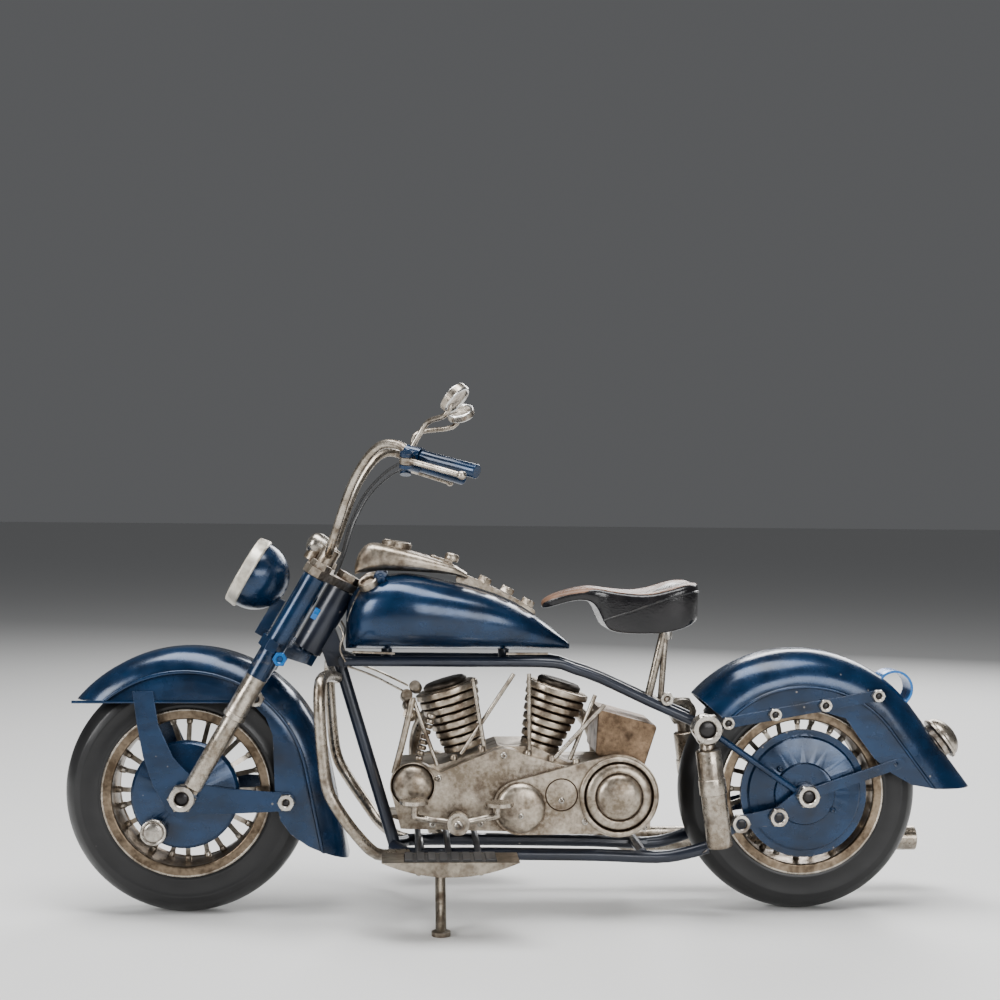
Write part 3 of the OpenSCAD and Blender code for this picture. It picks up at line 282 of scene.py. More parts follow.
# ---- The engine --------------------------------------------------------------------------------
# Cast and turned pewter parts on a solid crankcase: a flat cover with round domes on the left, two
# finned barrels in a vee, slanted pushrods. Brown antiquing is wiped off all but the hollows.


def pewter_plate(name, light, dark, brown, shine, pits=0.05, metallic=0.94):
    """Dull silver plate with brown antiquing left in its hollows and in cloudy patches."""
    plate = Finish(name, {"Metallic": metallic})
    clouds = plate.noise(9 * MM, 5)
    fine = plate.noise(1.1 * MM, 4)
    colour = plate.ramp(plate.mix(0.35, clouds, fine), (0.38, dark), (0.60, light))
    open_sky = plate.hollows(3.2 * MM)
    broken_up = plate.sum("ADD", open_sky, plate.sum("MULTIPLY", plate.sum("SUBTRACT", fine, 0.5), 0.6))
    stain = plate.ramp(broken_up, (0.50, 1.0), (0.93, 0.0))
    blots = plate.ramp(plate.noise(5 * MM, 6), (0.52, 0.0), (0.70, 0.75))
    stain = plate.sum("MAXIMUM", stain, blots)
    plate.set("Base Color", plate.mix(stain, colour, (*brown, 1)))
    gloss = plate.ramp(fine, (0.25, shine), (0.8, shine + 0.14))
    plate.set("Roughness", plate.sum("ADD", gloss, plate.sum("MULTIPLY", stain, 0.22)))
    plate.relief(plate.noise(4 * MM, 3), 0.07 * MM)
    plate.relief(fine, pits * MM)
    specks = plate.ramp(plate.spots(2.8 * MM), (0.04, 0.0), (0.09, 1.0))
    plate.relief(specks, 0.04 * MM)
    return plate.material


BROWN = (0.060, 0.036, 0.021)
pewter = pewter_plate("pewter", (0.47, 0.41, 0.335), (0.175, 0.140, 0.102), BROWN, 0.28)
plated = pewter_plate("plate", (0.52, 0.47, 0.40), (0.23, 0.19, 0.145), BROWN, 0.22, 0.025)
bolt_silver = pewter_plate("bolt_silver", (0.62, 0.59, 0.53), (0.34, 0.31, 0.27), BROWN, 0.2, 0.02)


def lathe(work, outline, place, steps=96):
    """Turns an outline of (radius, height) in millimetres full circle about the place's own Z."""
    rim = [work.verts.new((r * MM, 0, h * MM)) for r, h in outline]
    edges = [work.edges.new(pair) for pair in zip(rim, rim[1:])]
    turned = bmesh.ops.spin(work, geom=rim + edges, cent=(0, 0, 0), axis=(0, 0, 1), dvec=(0, 0, 0),
                            angle=2 * pi, steps=steps, use_merge=True)
    fresh = {v for g in turned["geom_last"] for v in (g.verts if hasattr(g, "verts") else [g])}
    shape = {v for v in set(rim) | fresh if v.is_valid}
    grown = shape
    while grown:
        grown = {e.other_vert(v) for v in grown for e in v.link_edges} - shape
        shape |= grown
    shape = list(shape)
    bmesh.ops.transform(work, matrix=place, verts=shape)
    return shape


def facing(origin, axis):
    """Place at a point in metres whose Z runs along the axis."""
    return Matrix.Translation(Vector(origin)) @ Vector(axis).to_track_quat("Z", "Y").to_matrix().to_4x4()


def arc(centre_r, centre_h, radius_r, radius_h, first, last, count=8):
    """Points of an elliptical arc between two angles in degrees."""
    angles = [radians(first + (last - first) * i / count) for i in range(count + 1)]
    return [(centre_r + radius_r * cos(a), centre_h + radius_h * sin(a)) for a in angles]


def middle_of(node):
    low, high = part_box(node)
    return (low + high) / 2


def outward(work):
    bmesh.ops.remove_doubles(work, verts=work.verts, dist=0.002 * MM)
    bmesh.ops.recalc_face_normals(work, faces=work.faces)


LEFT = Vector((0, -1, 0))
from_solid("crankcase", pewter, edge=0.4 * MM)
from_solid("primary_cover", pewter, edge=0.35 * MM)
from_solid("timing_cover", pewter, edge=0.4 * MM)
tank_tin = pewter_plate("tank_tin", (0.22, 0.15, 0.095), (0.085, 0.055, 0.033), (0.02, 0.011, 0.006),
                        0.32)
from_solid("oil_tank", tank_tin, edge=0.5 * MM)


def round_cover(node, outline):
    """A turned cap seated on the node's inner face; the outline is scaled to the node's own radius."""
    low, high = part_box(node)
    centre = (low + high) / 2
    centre.y = high.y
    work = bmesh.new()
    size = (high.x - low.x) / 2 / MM
    rise = (high.y - low.y) / MM
    lathe(work, [(r * size, h * rise) for r, h in outline], facing(centre, LEFT), 128)
    outward(work)
    return made(node + "_turned", work, pewter, [node], crease=50)


# the clutch dome: a flat rim, a raised ring, then a wide shallow dome with a step round it
round_cover("clutch_dome", [(0.93, 0.0), (0.985, 0.02)] + arc(0.955, 0.24, 0.04, 0.12, -60, 90, 6)
            + arc(0.90, 0.24, 0.03, 0.12, 90, 180, 4) + [(0.862, 0.10)]
            + arc(0.60, 0.14, 0.24, 0.34, 2, 86, 8) + [(0.585, 0.40)]
            + arc(0.0, 0.44, 0.565, 0.56, 3, 90, 16))
round_cover("generator_cap", [(0.97, 0.0), (1.0, 0.05), (1.0, 0.22)]
            + arc(0.955, 0.26, 0.045, 0.10, 0, 90, 5)
            + [(0.90, 0.24)] + arc(0.0, 0.30, 0.87, 0.70, 2, 90, 16))


def barrel(node, foot, lean):
    """A finned barrel: wide round-edged fins that grow towards the top, with narrow grooves."""
    low_r, top_r, height, groove = 5.8, 9.3, 19.0, 1.0
    pitch = height / fin_count
    outline = [(0, 0), (low_r - groove, 0)]
    for i in range(fin_count):
        r = low_r + (top_r - low_r) * i / (fin_count - 1)
        z = i * pitch
        outline += [(r - groove, z + pitch * 0.04)]
        outline += arc(r - 0.4, z + pitch * 0.24, 0.4, pitch * 0.16, -80, 0, 4)
        outline += arc(r - 0.4, z + pitch * 0.68, 0.4, pitch * 0.18, 0, 80, 4)
        outline += [(r - groove, z + pitch * 0.92)]
    outline += [(top_r - groove, height), (0, height)]
    work = bmesh.new()
    place = Matrix.Translation(Vector(foot) * MM) @ Matrix.Rotation(radians(lean), 4, "Y")
    lathe(work, outline, place, 96)
    outward(work)
    return made(node + "_finned", work, fin_metal, [node], crease=75)


fin_count = 8
fin_metal = pewter_plate("fin_metal", (0.52, 0.45, 0.36), (0.25, 0.195, 0.14), (0.05, 0.027, 0.015), 0.25)
barrel("front_cylinder", (-17.2, 0, 46.6), -17)
barrel("rear_cylinder", (4.6, 0, 46.6), 17)
# the cylinder heads are near-black: dark metal caps, and painted shade where they sit under the tank rail
dark_heads_and_rail_shade = pewter_plate("dark_heads_and_rail_shade", (0.10, 0.085, 0.07), (0.045, 0.037, 0.03), (0.015, 0.010, 0.007),
                         0.4)
from_solid("cylinder_heads", dark_heads_and_rail_shade, edge=0.3 * MM)
from_solid("pushrods", plated, edge=0.2 * MM)
from_solid("exhaust_pipes", plated, edge=0)
from_solid("muffler", plated, edge=0.2 * MM)


def wire(work, points, radius, sides=10):
    """Round wire through a list of points in millimetres, with closed ends."""
    last = None
    for i, p in enumerate(points):
        run = Vector(points[min(i + 1, len(points) - 1)]) - Vector(points[max(i - 1, 0)])
        at_end = i in (0, len(points) - 1)
        ring = bmesh.ops.create_circle(work, cap_ends=at_end, radius=radius * MM, segments=sides,
                                       matrix=facing(Vector(p) * MM, run))["verts"]
        here = list({e for v in ring for e in v.link_edges})
        if last:
            bmesh.ops.bridge_loops(work, edges=last + here)
        last = here
    return work


def eased(points, steps=5):
    """Smooth route through given points."""
    route = []
    for i in range(len(points) - 1):
        a, b, c, d = (Vector(points[max(0, min(len(points) - 1, i + k))]) for k in (-1, 0, 1, 2))
        for n in range(steps):
            t = n / steps
            route.append(0.5 * (2 * b + (c - a) * t + (2 * a - 5 * b + 4 * c - d) * t * t
                                + (3 * b - a - 3 * c + d) * t ** 3))
    return route + [Vector(points[-1])]


def hex_nut(work, face, axis, flats, hole, height, thread=0.5):
    """A hexagon nut standing on a face: rounded corners, chamfered hole and the screw's end in it."""
    half = flats / 2
    hole = min(hole, half * 0.62)
    outline = [(0, 0), (half, 0), (half, height - 0.14 * half), (half * 0.985, height),
               (hole + 0.25, height), (hole, height - 0.25), (hole, height * thread),
               (0, height * thread)]
    shape = lathe(work, outline, Matrix.Identity(4), 48)
    for v in shape:
        flat = v.co.xy
        if abs(flat.length - half * MM) < 0.001 * MM:
            turn = (atan2(flat.y, flat.x) % (pi / 3)) - pi / 6
            v.co.xy = flat / cos(turn)
    bmesh.ops.transform(work, matrix=facing(Vector(face) * MM, axis), verts=shape)


def pan_screw(work, face, axis, r):
    """A small round-headed screw with a sunk centre."""
    lathe(work, [(r, -0.2), (r, 0.15 * r)] + arc(0, 0.15 * r, r, 0.5 * r, 8, 62, 6)
          + [(r * 0.40, 0.30 * r), (0, 0.22 * r)], facing(Vector(face) * MM, axis), 20)


def mirrored(work):
    """Gives the right-hand side the same small pieces as the left."""
    copy = bmesh.ops.duplicate(work, geom=work.verts[:] + work.edges[:] + work.faces[:])["geom"]
    bmesh.ops.scale(work, vec=(1, -1, 1), verts=[g for g in copy if isinstance(g, bmesh.types.BMVert)])
    bmesh.ops.reverse_faces(work, faces=[g for g in copy if isinstance(g, bmesh.types.BMFace)])


# screws round the covers, the knurled rod and strap that hold the front barrel, and the base nuts
small = bmesh.new()
CRANKCASE_FACE = -14.4
CHAIN_COVER_FACE = -16.4
for x, z in ((-26.5, 27.2), (-13.0, 27.4), (-25.0, 40.2), (-6.5, 46.6), (33.2, 26.4), (16.5, 28.2)):
    pan_screw(small, (x, CRANKCASE_FACE if x < -5 else CHAIN_COVER_FACE, z), LEFT, 1.0)
pan_screw(small, (9.8, CHAIN_COVER_FACE, 34.2), LEFT, 0.9)
pan_screw(small, (-1.8, -18.8, 30.2), LEFT, 0.8)
pan_screw(small, (-19.5, -24.3, 28.8), LEFT, 1.3)
outward(small)
made("cover_screws", small, bolt_silver, [], body="frame")

brace = bmesh.new()
wire(brace, eased([(-37.4, -10.6, 41), (-35.4, -11.4, 49), (-33.6, -11.8, 57), (-32.4, -11.6, 62.6)]),
     0.95, 12)
for i in range(9):
    lathe(brace, [(0.0, 0.0), (1.15, 0.0), (1.3, 0.35), (1.3, 0.75), (1.15, 1.1), (0.0, 1.1)],
          facing(Vector((-30.6 + i * 0.42, -9.2, 44.6 + 1.5 * i)) * MM, (0.26, 0, 0.96)), 16)
for k, (x, z) in enumerate(((-33.4, 60.4), (-34.2, 63.0), (-31.6, 65.4), (-33.0, 57.6))):
    lathe(brace, [(0, -1.6), (1.5, -1.6), (1.7, -1.2), (1.7, 1.2), (1.5, 1.6), (0, 1.6)],
          facing(Vector((x, -9.6 - k % 2 * 0.8, z)) * MM, (0.4 - 0.3 * k, -1, 0.4)), 20)
for x, z in ((-12.6, 48.0), (-20.6, 45.6), (0.6, 46.9), (7.4, 45.2), (14.4, 44.4)):
    lathe(brace, [(0, -0.6), (1.1, -0.6), (1.1, 0.5), (0.8, 0.9), (0, 0.9)],
          facing(Vector((x, -11.6, z)) * MM, (0, 0, 1)), 16)
outward(brace)
made("barrel_brace", brace, pewter, [], body="frame", crease=50)

leads = bmesh.new()
wire(leads, eased([(-51.0, -7.2, 71.0), (-44, -8.6, 68.6), (-38, -10.2, 65.8), (-33.6, -10.4, 63.6)]),
     0.32, 8)
wire(leads, eased([(-51.6, -8.2, 72.4), (-53.2, -8.6, 76), (-52.4, -8.6, 80), (-53.6, -8.2, 83)]), 0.3, 8)
wire(leads, eased([(-51.2, -7.9, 84), (-50.0, -9.6, 87.6), (-48.4, -9.6, 91.4), (-46.6, -9.2, 94.8)]),
     0.3, 8)
mirrored(leads)
outward(leads)
made("control_leads", leads, plated, [], body="frame")

# ---- The fuel tank -----------------------------------------------------------------------------
# Two pressed shells soldered along the middle, enamelled blue, with a pewter console on top: a
# sloping spine, a dial plate, a switch knob, three nuts and a filler cap beside them.

for shell in ("fuel_tank_left", "fuel_tank_right"):
    from_solid(shell, blue_paint, soft=1, crease=50)
from_solid("tank_console", pewter, edge=0.3 * MM, crease=40)
seam = bmesh.new()
for end, out in ((-49.6, 9.2), (-6.0, 13.0)):
    wire(seam, [(end, -out, 75.3), (end + 12, -out - 3.4 + (end > -20) * 4.4, 75.25)], 0.35, 8)
mirrored(seam)
outward(seam)
made("tank_seam", seam, plated, [], body="frame")
fittings = bmesh.new()
lathe(fittings, [(0, 0), (4.1, 0), (4.1, 0.5), (3.7, 0.7), (3.4, 0.5), (3.2, 0.35)]
      + arc(0, 0.3, 3.0, 0.5, 10, 90, 6),
      facing(Vector((-37.3, 0, 106.1)) * MM, (0.156, 0, 0.988)), 48)
for x, z, tilt in ((-12.0, 94.9, 0.42), (-5.4, 92.0, 0.46), (0.6, 88.5, 0.5)):
    hex_nut(fittings, (x, 0, z), (tilt, 0, 0.9), 3.8, 0.8, 1.7)
for x, y in ((-26.8, -2.4), (-26.8, 2.4), (-22.4, 2.4)):
    pan_screw(fittings, (x, y, 102.4 - (x + 26.8) * 0.27), (0.26, 0, 0.97), 0.8)
lathe(fittings, [(0, 0), (1.9, 0), (2.1, 0.5), (2.1, 1.6), (1.7, 2.1), (0, 2.2)],
      facing(Vector((-21.6, -1.2, 101.2)) * MM, (0.26, 0, 0.97)), 32)
for side in (-1, 1):
    lathe(fittings, [(0, -1.6), (3.0, -1.6), (3.0, 0.2)] + arc(2.5, 0.2, 0.5, 0.5, 0, 180, 8)
          + [(1.9, -0.3), (0, -0.3)],
          facing(Vector((-45.4, side * 9.6, 95.4)) * MM, (-0.35, side * 0.45, 0.82)), 40)
outward(fittings)
made("console_fittings", fittings, pewter, [], body="frame", crease=45)
caps = bmesh.new()
for side in (-1, 1):
    hex_nut(caps, (-42.0, side * 9.4, 95.8), (0.1, side * 0.5, 0.86), 3.4, 0.5, 2.0, 0.9)
outward(caps)
made("filler_bolts", caps, blue_paint, [], body="frame")

# ---- The saddle --------------------------------------------------------------------------------
# One stuffed leather form: a narrow arched nose, a dished seat and a raised back. Its top is rubbed
# to brown, its sides hang deep, black and glossy, and a welt runs round below the edge.


def saddle_leather():
    leather = Finish("saddle_top",
                     {"Metallic": 0.0, "Coat Weight": 0.12, "Coat Roughness": 0.15,
                      "Specular IOR Level": 0.35})
    rubbed = leather.add("ShaderNodeAttribute", {}, attribute_name="rubbed").outputs["Fac"]
    clouds = leather.noise(6 * MM, 6)
    grain = leather.spots(0.55 * MM)
    worn = leather.ramp(clouds, (0.3, (0.075, 0.036, 0.020)), (0.7, (0.21, 0.115, 0.070)))
    black = leather.ramp(clouds, (0.3, (0.004, 0.004, 0.005)), (0.7, (0.012, 0.011, 0.012)))
    patchy = leather.sum("ADD", rubbed,
                         leather.sum("MULTIPLY", leather.sum("SUBTRACT", clouds, 0.5), 0.8))
    amount = leather.ramp(patchy, (0.42, 0.0), (0.62, 1.0))
    leather.set("Base Color", leather.mix(amount, black, worn))
    gloss = leather.ramp(leather.noise(3 * MM, 4), (0.3, 0.16), (0.75, 0.27))
    leather.set("Roughness", leather.sum("ADD", gloss, leather.sum("MULTIPLY", amount, 0.26)))
    leather.relief(grain, 0.035 * MM)
    leather.relief(leather.noise(7 * MM, 3), 0.25 * MM)
    return leather.material


# rows of the form: place along the machine, half width, underside, top
SADDLE_ROWS = (
    (4.9, 1.6, 88.0, 89.2), (5.6, 2.6, 87.6, 90.2), (8, 4.4, 88.2, 91.6), (12, 6.0, 89.6, 92.8),
    (16.5, 7.4, 90.4, 93.8), (19.6, 8.6, 89.6, 94.1), (21.2, 9.6, 86.6, 94.0), (22.6, 10.6, 83.2, 93.8),
    (24.2, 11.4, 81.3, 93.6), (29, 13.0, 80.9, 93.0), (34, 14.6, 80.9, 92.8), (39, 15.8, 81.2, 93.8),
    (43.5, 16.2, 82.2, 95.4), (47, 14.8, 83.6, 96.0), (49.2, 11.4, 84.8, 95.8), (50.0, 7.0, 85.6, 95.0),
)


def saddle_ring(half, low, high):
    """Cross-section with a crowned top that dips in the middle, a tight shoulder and upright sides."""
    tall = high - low
    dish = 0.07 * half * (half > 9)
    shoulder = min(2.0, tall * 0.45)
    section = [(0.0, high - dish), (0.35, high - dish * 0.8), (0.66, high - dish * 0.2),
               (0.86, high - 0.16 * shoulder), (0.97, high - 0.5 * shoulder), (1.0, high - shoulder),
               (0.985, low + 0.56 * (tall - shoulder)), (0.955, low + 0.22 * (tall - shoulder)),
               (0.93, low + 0.3), (0.86, low), (0.5, low), (0.0, low)]
    return [(w * half, z) for w, z in section] + [(-w * half, z) for w, z in section[-2:0:-1]]


saddle_work = bmesh.new()
rubbed_layer = saddle_work.verts.layers.float.new("rubbed")
previous = None
for x, half, low_z, high_z in SADDLE_ROWS:
    outline = saddle_ring(half, low_z, high_z)
    ring = bmesh.ops.create_circle(saddle_work, cap_ends=x in (SADDLE_ROWS[0][0], SADDLE_ROWS[-1][0]),
                                   radius=1, segments=len(outline))["verts"]
    for v, (y, z) in zip(ring, outline):
        v.co = Vector((x, y, z)) * MM
        v[rubbed_layer] = 1.0 if z > high_z - 0.9 else 0.0
    edges = list({e for v in ring for e in v.link_edges})
    if previous:
        bmesh.ops.bridge_loops(saddle_work, edges=previous + edges)
    previous = edges
outward(saddle_work)
saddle_pad = made("saddle_cushion", saddle_work, saddle_leather(), ["saddle", "saddle_skirt"], crease=180,
                  soft=2)

black_leather = enamel("saddle_side", (0.004, 0.004, 0.005), (0.012, 0.012, 0.013), (0.03, 0.026, 0.022),
                       0.2, 0.0)
welt = bmesh.new()
wire(welt, eased([(22.0, -10.2, 84.6), (26, -12.2, 86.2), (31, -14.0, 88.0), (36, -15.4, 90.0),
                  (41, -16.2, 91.7),
                  (45.5, -15.7, 92.9), (49.0, -11.6, 93.2), (50.2, -5, 93.0), (50.4, 0, 92.8)]), 0.28, 8)
mirrored(welt)
outward(welt)
made("saddle_welt", welt, black_leather, [], body="frame")
from_solid("seat_post", plated, edge=0.1 * MM)
posts = bmesh.new()
hex_nut(posts, (40.6, -9.4, 62.2), LEFT, 3.6, 0.8, 1.6)
lathe(posts, [(0, -1.6), (1.3, -1.6), (1.5, 0), (1.3, 1.6), (0, 1.6)],
      facing(Vector((42.2, 0, 80.2)) * MM, (0, 0, 1)), 24)
outward(posts)
made("seat_post_nuts", posts, bolt_silver, [], body="frame")

# ---- The rear end ------------------------------------------------------------------------------
# A pressed rear mudguard with a beaded side, riveted straps and nuts, a grab strap and a lamp; two
# plated shock covers hang from large hex nuts and the brake plate is held by flat stays.


def hex_piece(name, nuts, finish, nodes, body):
    work, ends = bmesh.new(), bmesh.new()
    for face, axis, flats, hole, height in nuts:
        hex_nut(work, face, axis, flats, hole, height)
        # a screw end fills each nut's hole, coloured near-black partly as the screw's dark paint and
        # partly as painted shade inside the hole
        inside = min(hole, flats * 0.31) - 0.06
        lathe(ends, [(0, 0.3), (inside, 0.3), (inside, height * 0.62), (inside * 0.7, height * 0.72),
                     (0, height * 0.74)],
              facing(Vector(face) * MM, axis), 24)
    outward(work)
    outward(ends)
    made(name + "_studs", ends, stud_paint_and_hole_shade, [], body=body)
    return made(name, work, finish, nodes, body=body, crease=30)


# screw ends: near-black, partly dark paint on the screws and partly painted shade of the nut holes
stud_paint_and_hole_shade = enamel("stud_ends", (0.006, 0.006, 0.008), (0.022, 0.019, 0.017), BARE_TIN, 0.35, 0.6, 0.2)
REAR_X, AXLE_Z = middle_of("rear_axle").x / MM, middle_of("rear_axle").z / MM
FRONT_X = middle_of("front_axle").x / MM
from_solid("rear_fender", blue_paint, edge=0.25 * MM)
from_solid("rear_struts", blue_paint, edge=0.2 * MM)
from_solid("rear_brake_plate", blue_paint, edge=0.3 * MM)
from_solid("rear_shocks", plated, edge=0.25 * MM)
strap_nuts = []
STRAP_FACE = 13.3
STAY_FACE = 14.1
for s in (-1, 1):
    out = Vector((0, s, 0))
    strap_nuts += [((REAR_X + x, s * STRAP_FACE, AXLE_Z + z), out, 3.4, 0.9, 1.5)
                   for x, z in ((-23, 20.7), (-9.4, 23.2), (5.2, 25.8), (20.6, 28.6))]
    strap_nuts += [((REAR_X + x, s * STAY_FACE, AXLE_Z + z), out, 5, 1.45, 1.8)
                   for x, z in ((-8.4, -6), (-19.3, -7.8))]
hex_piece("strap_nuts_hex", strap_nuts, bolt_silver, ["strap_nuts"], "frame")
bolt_at = middle_of("shock_bolt") / MM
hex_piece("shock_nuts", [((bolt_at.x, s * 19.8, bolt_at.z), (0, s, 0), 8, 2.5, 3.2) for s in (-1, 1)],
          bolt_silver, ["shock_bolt"], "frame")
hex_piece("rear_axle_nuts", [((REAR_X, s * STAY_FACE, AXLE_Z), (0, s, 0), 6, 2.0, 2.6) for s in (-1, 1)],
          bolt_silver, ["rear_axle"], "frame")
rivets = bmesh.new()
for s in (-1, 1):
    for x, z in ((12.2, -0.6), (-3.2, 11.2)):
        pan_screw(rivets, (REAR_X + x - 4.0, s * 11.6, AXLE_Z + z - 4), (0, s, 0), 0.9)
    pan_screw(rivets, (REAR_X + 26.0, s * 13.2, AXLE_Z + 8.9), (0, s, 0), 0.8)
outward(rivets)
made("rear_rivets", rivets, blue_paint, [], body="frame")

bright_blue = enamel("bright_blue", (0.004, 0.075, 0.27), (0.010, 0.17, 0.50), BARE_TIN, 0.2, 0.4)
from_solid("grab_strap", bright_blue)
from_solid("tail_lamp", plated, edge=0.2 * MM)

# ---- Footboards and stand ----------------------------------------------------------------------
# Curved cast boards hang from three rods under the cradle, each with a ribbed mat let into its top.
# A rocker pedal turns on the cover's pin, plated guards bow out ahead, and a prop folds back.
black_rubber = enamel("pad", (0.006, 0.006, 0.007), (0.016, 0.016, 0.017), (0.05, 0.045, 0.04), 0.55, 0.0,
                      0.2)
board_metal = pewter_plate("board_metal", (0.34, 0.30, 0.24), (0.13, 0.105, 0.08), BROWN, 0.3)
from_solid("footboards", board_metal, edge=0.35 * MM)
from_solid("board_pads", black_rubber, edge=0.1 * MM)
from_solid("engine_guards", plated, edge=0)
from_solid("rocker_pedal", plated, edge=0.25 * MM)
from_solid("side_stand", board_metal, edge=0.2 * MM)
under = bmesh.new()
for x in (-30.4, -13.6):
    lathe(under, [(0, -1.2), (1.0, -1.2), (1.2, -0.8), (1.2, 0.8), (1.0, 1.2), (0, 1.2)],
          facing(Vector((x, -31, 17.8)) * MM, LEFT), 20)
mirrored(under)
outward(under)
made("board_bolts", under, board_metal, [], body="frame")

# ---- The fork ----------------------------------------------------------------------------------
# Blue covers over plated legs between a stem plate and a cast upper clamp. The headlight hangs on a
# bracket, the mudguard on flat stays, and the axle is held by a large nut on each side.
from_solid("steering_stem", blue_paint, edge=0.3 * MM)
from_solid("upper_clamp", pewter, edge=0.3 * MM)
from_solid("fork_covers", blue_paint, edge=0.25 * MM)
from_solid("fork_legs", plated, edge=0.3 * MM)
from_solid("front_fender", blue_paint, edge=0.25 * MM)
from_solid("front_stays", blue_paint, edge=0.22 * MM)
from_solid("front_brake_drum", blue_paint, edge=0.3 * MM)
from_solid("headlight_shell", blue_paint, edge=0.15 * MM)
hex_piece("front_axle_nuts", [((FRONT_X, s * 15.0, AXLE_Z), (0, s, 0), 7, 2.0, 3.2) for s in (-1, 1)],
          bolt_silver, ["front_axle"], "steering")
guard_nuts = []
for s in (-1, 1):
    guard_nuts.append(((FRONT_X + 28.6, s * 13.2, AXLE_Z - 1.7), (0, s, 0), 4.4, 1.0, 1.6))
    guard_nuts.append(((FRONT_X + 20.0, s * 14.6, AXLE_Z + 27.6), (0, s, 0), 4.2, 0.9, 1.6))
hex_piece("guard_nuts", guard_nuts, bolt_silver, [], "steering")

knobs = bmesh.new()
for s in (-1, 1):
    face = Vector((FRONT_X - 8.2, s * 12.6, AXLE_Z - 10)) * MM
    lathe(knobs, [(0, -1.0), (3.7, -1.0), (3.7, 1.4)] + arc(3.2, 1.4, 0.5, 0.5, 0, 90, 5)
          + arc(0, 1.5, 2.8, 0.7, 8, 90, 6),
          facing(face, (0, s, 0)), 40)
outward(knobs)
made("brake_knobs", knobs, bolt_silver, [], body="steering")

# rolled wire along the foot of the mudguard's skirts
skirt_wire = bmesh.new()
wire(skirt_wire, eased([(FRONT_X - 31.4, -12.6, AXLE_Z + 26.3), (FRONT_X - 10, -12.75, AXLE_Z + 26.4),
                        (FRONT_X + 13, -12.75, AXLE_Z + 26.4)], 4), 0.42, 8)
mirrored(skirt_wire)
outward(skirt_wire)
made("skirt_wire", skirt_wire, blue_paint, [], body="steering")


RAKE = radians(29.5)
STEM_X, STEM_Z = -58, 84


def on_fork(along_x, across, up):
    """Point in metres from the steering axis: ahead of it, across, and up along it."""
    forward = along_x * cos(RAKE) + up * sin(RAKE)
    rise = -along_x * sin(RAKE) + up * cos(RAKE)
    return Vector((STEM_X + forward, across, STEM_Z + rise)) * MM


FORK_AHEAD = on_fork(-1, 0, 0) - on_fork(0, 0, 0)
fork_small = bmesh.new()
for s in (-1, 1):
    pan = on_fork(-5.0, s * 20.6, -14.0) / MM
    hex_nut(fork_small, pan, (0, s, 0), 3.6, 0.8, 1.6)
    hex_nut(fork_small, on_fork(-3.6, s * 17.6, 1.5) / MM, (0.87, 0, -0.49), 3.2, 0.5, 1.6, 0.9)
outward(fork_small)
made("fork_bolts", fork_small, bright_blue, [], body="steering")
knob = bmesh.new()
lathe(knob, [(0, -3.0), (2.6, -3.0), (3.3, -2.2), (3.5, 0)] + arc(0, 0.6, 3.4, 2.6, 5, 90, 8),
      facing(on_fork(-12.6, 0, 17.6), FORK_AHEAD), 40)
outward(knob)
made("damper_knob", knob, bolt_silver, [], body="steering")

# the headlight's face: a rolled plated rim round a fluted cream glass
LAMP = on_fork(-26, 0, 1)
ivory = pewter_plate("rim_ivory", (0.72, 0.69, 0.60), (0.52, 0.48, 0.40), BROWN, 0.32, 0.02, 0.55)
rim = bmesh.new()
lathe(rim, [(8.4, 1.0), (9.2, 1.9)] + arc(9.75, 1.15, 0.55, 0.75, 100, 0, 6)
      + arc(10.15, -1.0, 0.55, 0.8, 0, -60, 5)
      + [(9.4, -1.3), (8.4, -1.2), (8.4, 1.0)], facing(LAMP, FORK_AHEAD), 128)
outward(rim)
made("headlight_rim", rim, ivory, [], body="steering")
glass = bmesh.new()
fluted = [(8.6 * cos(a), 0.4 + 1.6 * sin(a) + 0.10 * cos(a * 48))
          for a in [radians(2 + 1.8 * i) for i in range(49)]]
lathe(glass, [(0, -1.1), (8.6, -1.1), (8.9, 0.3)] + fluted + [(0, 2.1)], facing(LAMP, FORK_AHEAD), 96)
outward(glass)
cream = enamel("lens", (0.56, 0.52, 0.40), (0.74, 0.70, 0.58), (0.30, 0.25, 0.16), 0.22, 0.0, 0.1)
made("headlight_glass", glass, cream, ["headlight_lens"], crease=60)

# ---- The handlebar -----------------------------------------------------------------------------
# One plated bar bent up and back from the clamp. Each end has a blue sleeve, a lever on a pin, a
# round mirror on its stem and a cable that runs back down to the clamp.
from_solid("handlebar", plated, edge=0)
from_solid("grips", blue_paint, edge=0.3 * MM)
from_solid("control_bodies", blue_paint, edge=0.25 * MM)
from_solid("control_cables", black_rubber, edge=0)
from_solid("clutch_lever", plated, edge=0.15 * MM)
from_solid("brake_lever", plated, edge=0.15 * MM)
from_solid("mirrors", plated, edge=0.15 * MM)
mirror_glass = pewter_plate("mirror_face", (0.80, 0.79, 0.76), (0.62, 0.60, 0.56), BROWN, 0.12, 0.01,
                            0.95)
MIRRORS = (((-22.3, -46, 145.4), (0.69, -0.33, -0.64)), ((-17.6, 46, 147), (0.24, 0.5, -0.83)))
faces = bmesh.new()
for centre, look in MIRRORS:
    way = Vector(look).normalized()
    for flip in (-1, 1):
        lathe(faces, [(0, 0.55), (3.3, 0.55)] + arc(3.85, 0.75, 0.5, 0.5, 160, 0, 8)
              + [(4.3, 0.0), (0, 0.0)],
              facing(Vector(centre) * MM, way * flip), 48)
outward(faces)
made("mirror_rims", faces, mirror_glass, [], body="steering", crease=50)

# ---- The wheels --------------------------------------------------------------------------------
# Solid rubber tyres on rolled rims. Each wheel has flat strip spokes, in two rows that lean from
# the hub's flanges to the middle of the rim, where short nipples hold them.


def both_edges(half):
    """Outline of (radius, across) for one side, mirrored to the other and closed."""
    return half + [(r, -a) for r, a in reversed(half)] + [half[0]]


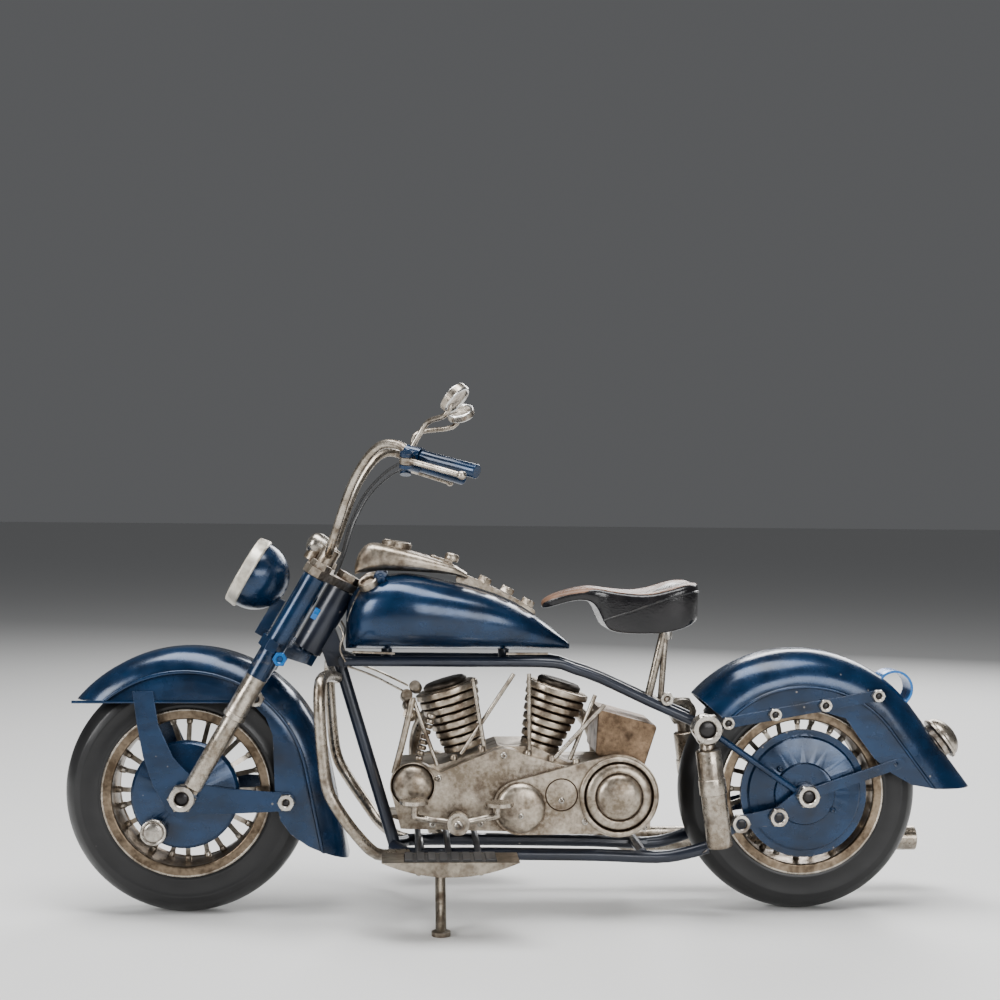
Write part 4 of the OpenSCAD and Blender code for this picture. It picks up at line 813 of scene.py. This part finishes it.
tyre_rubber = enamel("tyre", (0.0035, 0.0035, 0.004), (0.0085, 0.0085, 0.009), (0.03, 0.029, 0.027), 0.40,
                     0.0, 0.1)
tyre_rubber.node_tree.nodes["Principled BSDF"].inputs["Specular IOR Level"].default_value = 0.28
rim_metal = pewter_plate("rim_metal", (0.24, 0.185, 0.13), (0.075, 0.052, 0.033), (0.02, 0.012, 0.007),
                         0.26)
spoke_strip = pewter_plate("spoke", (0.56, 0.51, 0.44), (0.28, 0.24, 0.19), BROWN, 0.30, 0.02)
SPOKES = 24
TYRE_R = 35.0
TREAD_CENTRE = 26
TREAD_ROUND = 9.0
for end, x in (("front", FRONT_X), ("rear", REAR_X)):
    hub_at = facing(Vector((x, 0, AXLE_Z)) * MM, LEFT)
    tyre = bmesh.new()
    wall = [(22.4, 0), (22.4, 7.2), (22.9, 7.42), (24.3, 7.36), (24.6, 7.5), (25.1, 7.5), (25.4, 7.34),
            (29.2, 7.42),
            (29.5, 7.5), (30.0, 7.5), (30.3, 7.30)]
    profile = arc(TREAD_CENTRE, 0, TREAD_ROUND, TREAD_ROUND, 3, 54, 12) + wall[::-1]
    lathe(tyre, [(TYRE_R, 0.0)] + profile, hub_at, 160)
    lathe(tyre, [(TYRE_R, 0.0)] + [(r, -a) for r, a in profile], hub_at, 160)
    outward(tyre)
    made(end + "_tyre_moulded", tyre, tyre_rubber, [end + "_tyre"], crease=60)
    rim = bmesh.new()
    lathe(rim, both_edges([(22.38, 0), (22.38, 7.4)] + arc(23.35, 7.5, 0.6, 0.6, -20, 100, 6)
                          + arc(21.5, 7.45, 0.6, 0.62, 80, 200, 6)
                          + [(21.2, 6.2), (20.9, 4.4), (20.5, 2.6), (20.4, 0)]), hub_at, 128)
    outward(rim)
    made(end + "_rim_rolled", rim, rim_metal, [end + "_rim"], crease=50)
    lips = bmesh.new()
    for s in (-1, 1):
        for lip_r, lip_y, thick in ((23.55, 7.72, 0.42), (21.35, 7.55, 0.36)):
            lathe(lips, arc(lip_r, s * lip_y, thick, thick, 0, 360, 10), hub_at, 128)
    outward(lips)
    made(end + "_rim_lips", lips, plated, [], body=rides[end + "_rim"])
    wheel = bmesh.new()
    flange = [(2.06, 7.9), (3.8, 7.9), (4.9, 7.6), (5.2, 7.2), (5.2, 6.0), (4.9, 5.6), (3.8, 5.4),
              (3.4, 3.0)]
    lathe(wheel, both_edges([(2.06, 0)] + flange + [(3.4, 0)]), hub_at, 48)
    for i in range(SPOKES):
        s = i % 2 * 2 - 1
        a = 2 * pi * i / SPOKES
        out = Vector((cos(a), 0, sin(a)))
        inner = out * 4.0 + Vector((0, s * 6.3, 0))
        outer = out * 20.6 + Vector((0, s * 1.3, 0))
        run = outer - inner
        across = Vector((0, 1, 0)).cross(out)
        strip = bmesh.ops.create_cube(wheel, size=MM)["verts"]
        thick = run.cross(across).normalized()
        turn = Matrix((across * 1.35, thick * 0.45, run)).transposed().to_4x4()
        place = Matrix.Translation((Vector((x, 0, AXLE_Z)) + (inner + outer) / 2) * MM)
        bmesh.ops.transform(wheel, matrix=place @ turn, verts=strip)
        lathe(wheel, [(0, 0), (0.8, 0), (0.95, 0.5), (0.95, 1.7), (0.6, 2.2), (0, 2.2)],
              facing((Vector((x, 0, AXLE_Z)) + outer - run.normalized() * 1.7) * MM, run), 10)
    outward(wheel)
    made(end + "_wheel_spokes", wheel, spoke_strip, [end + "_spokes"], crease=40)
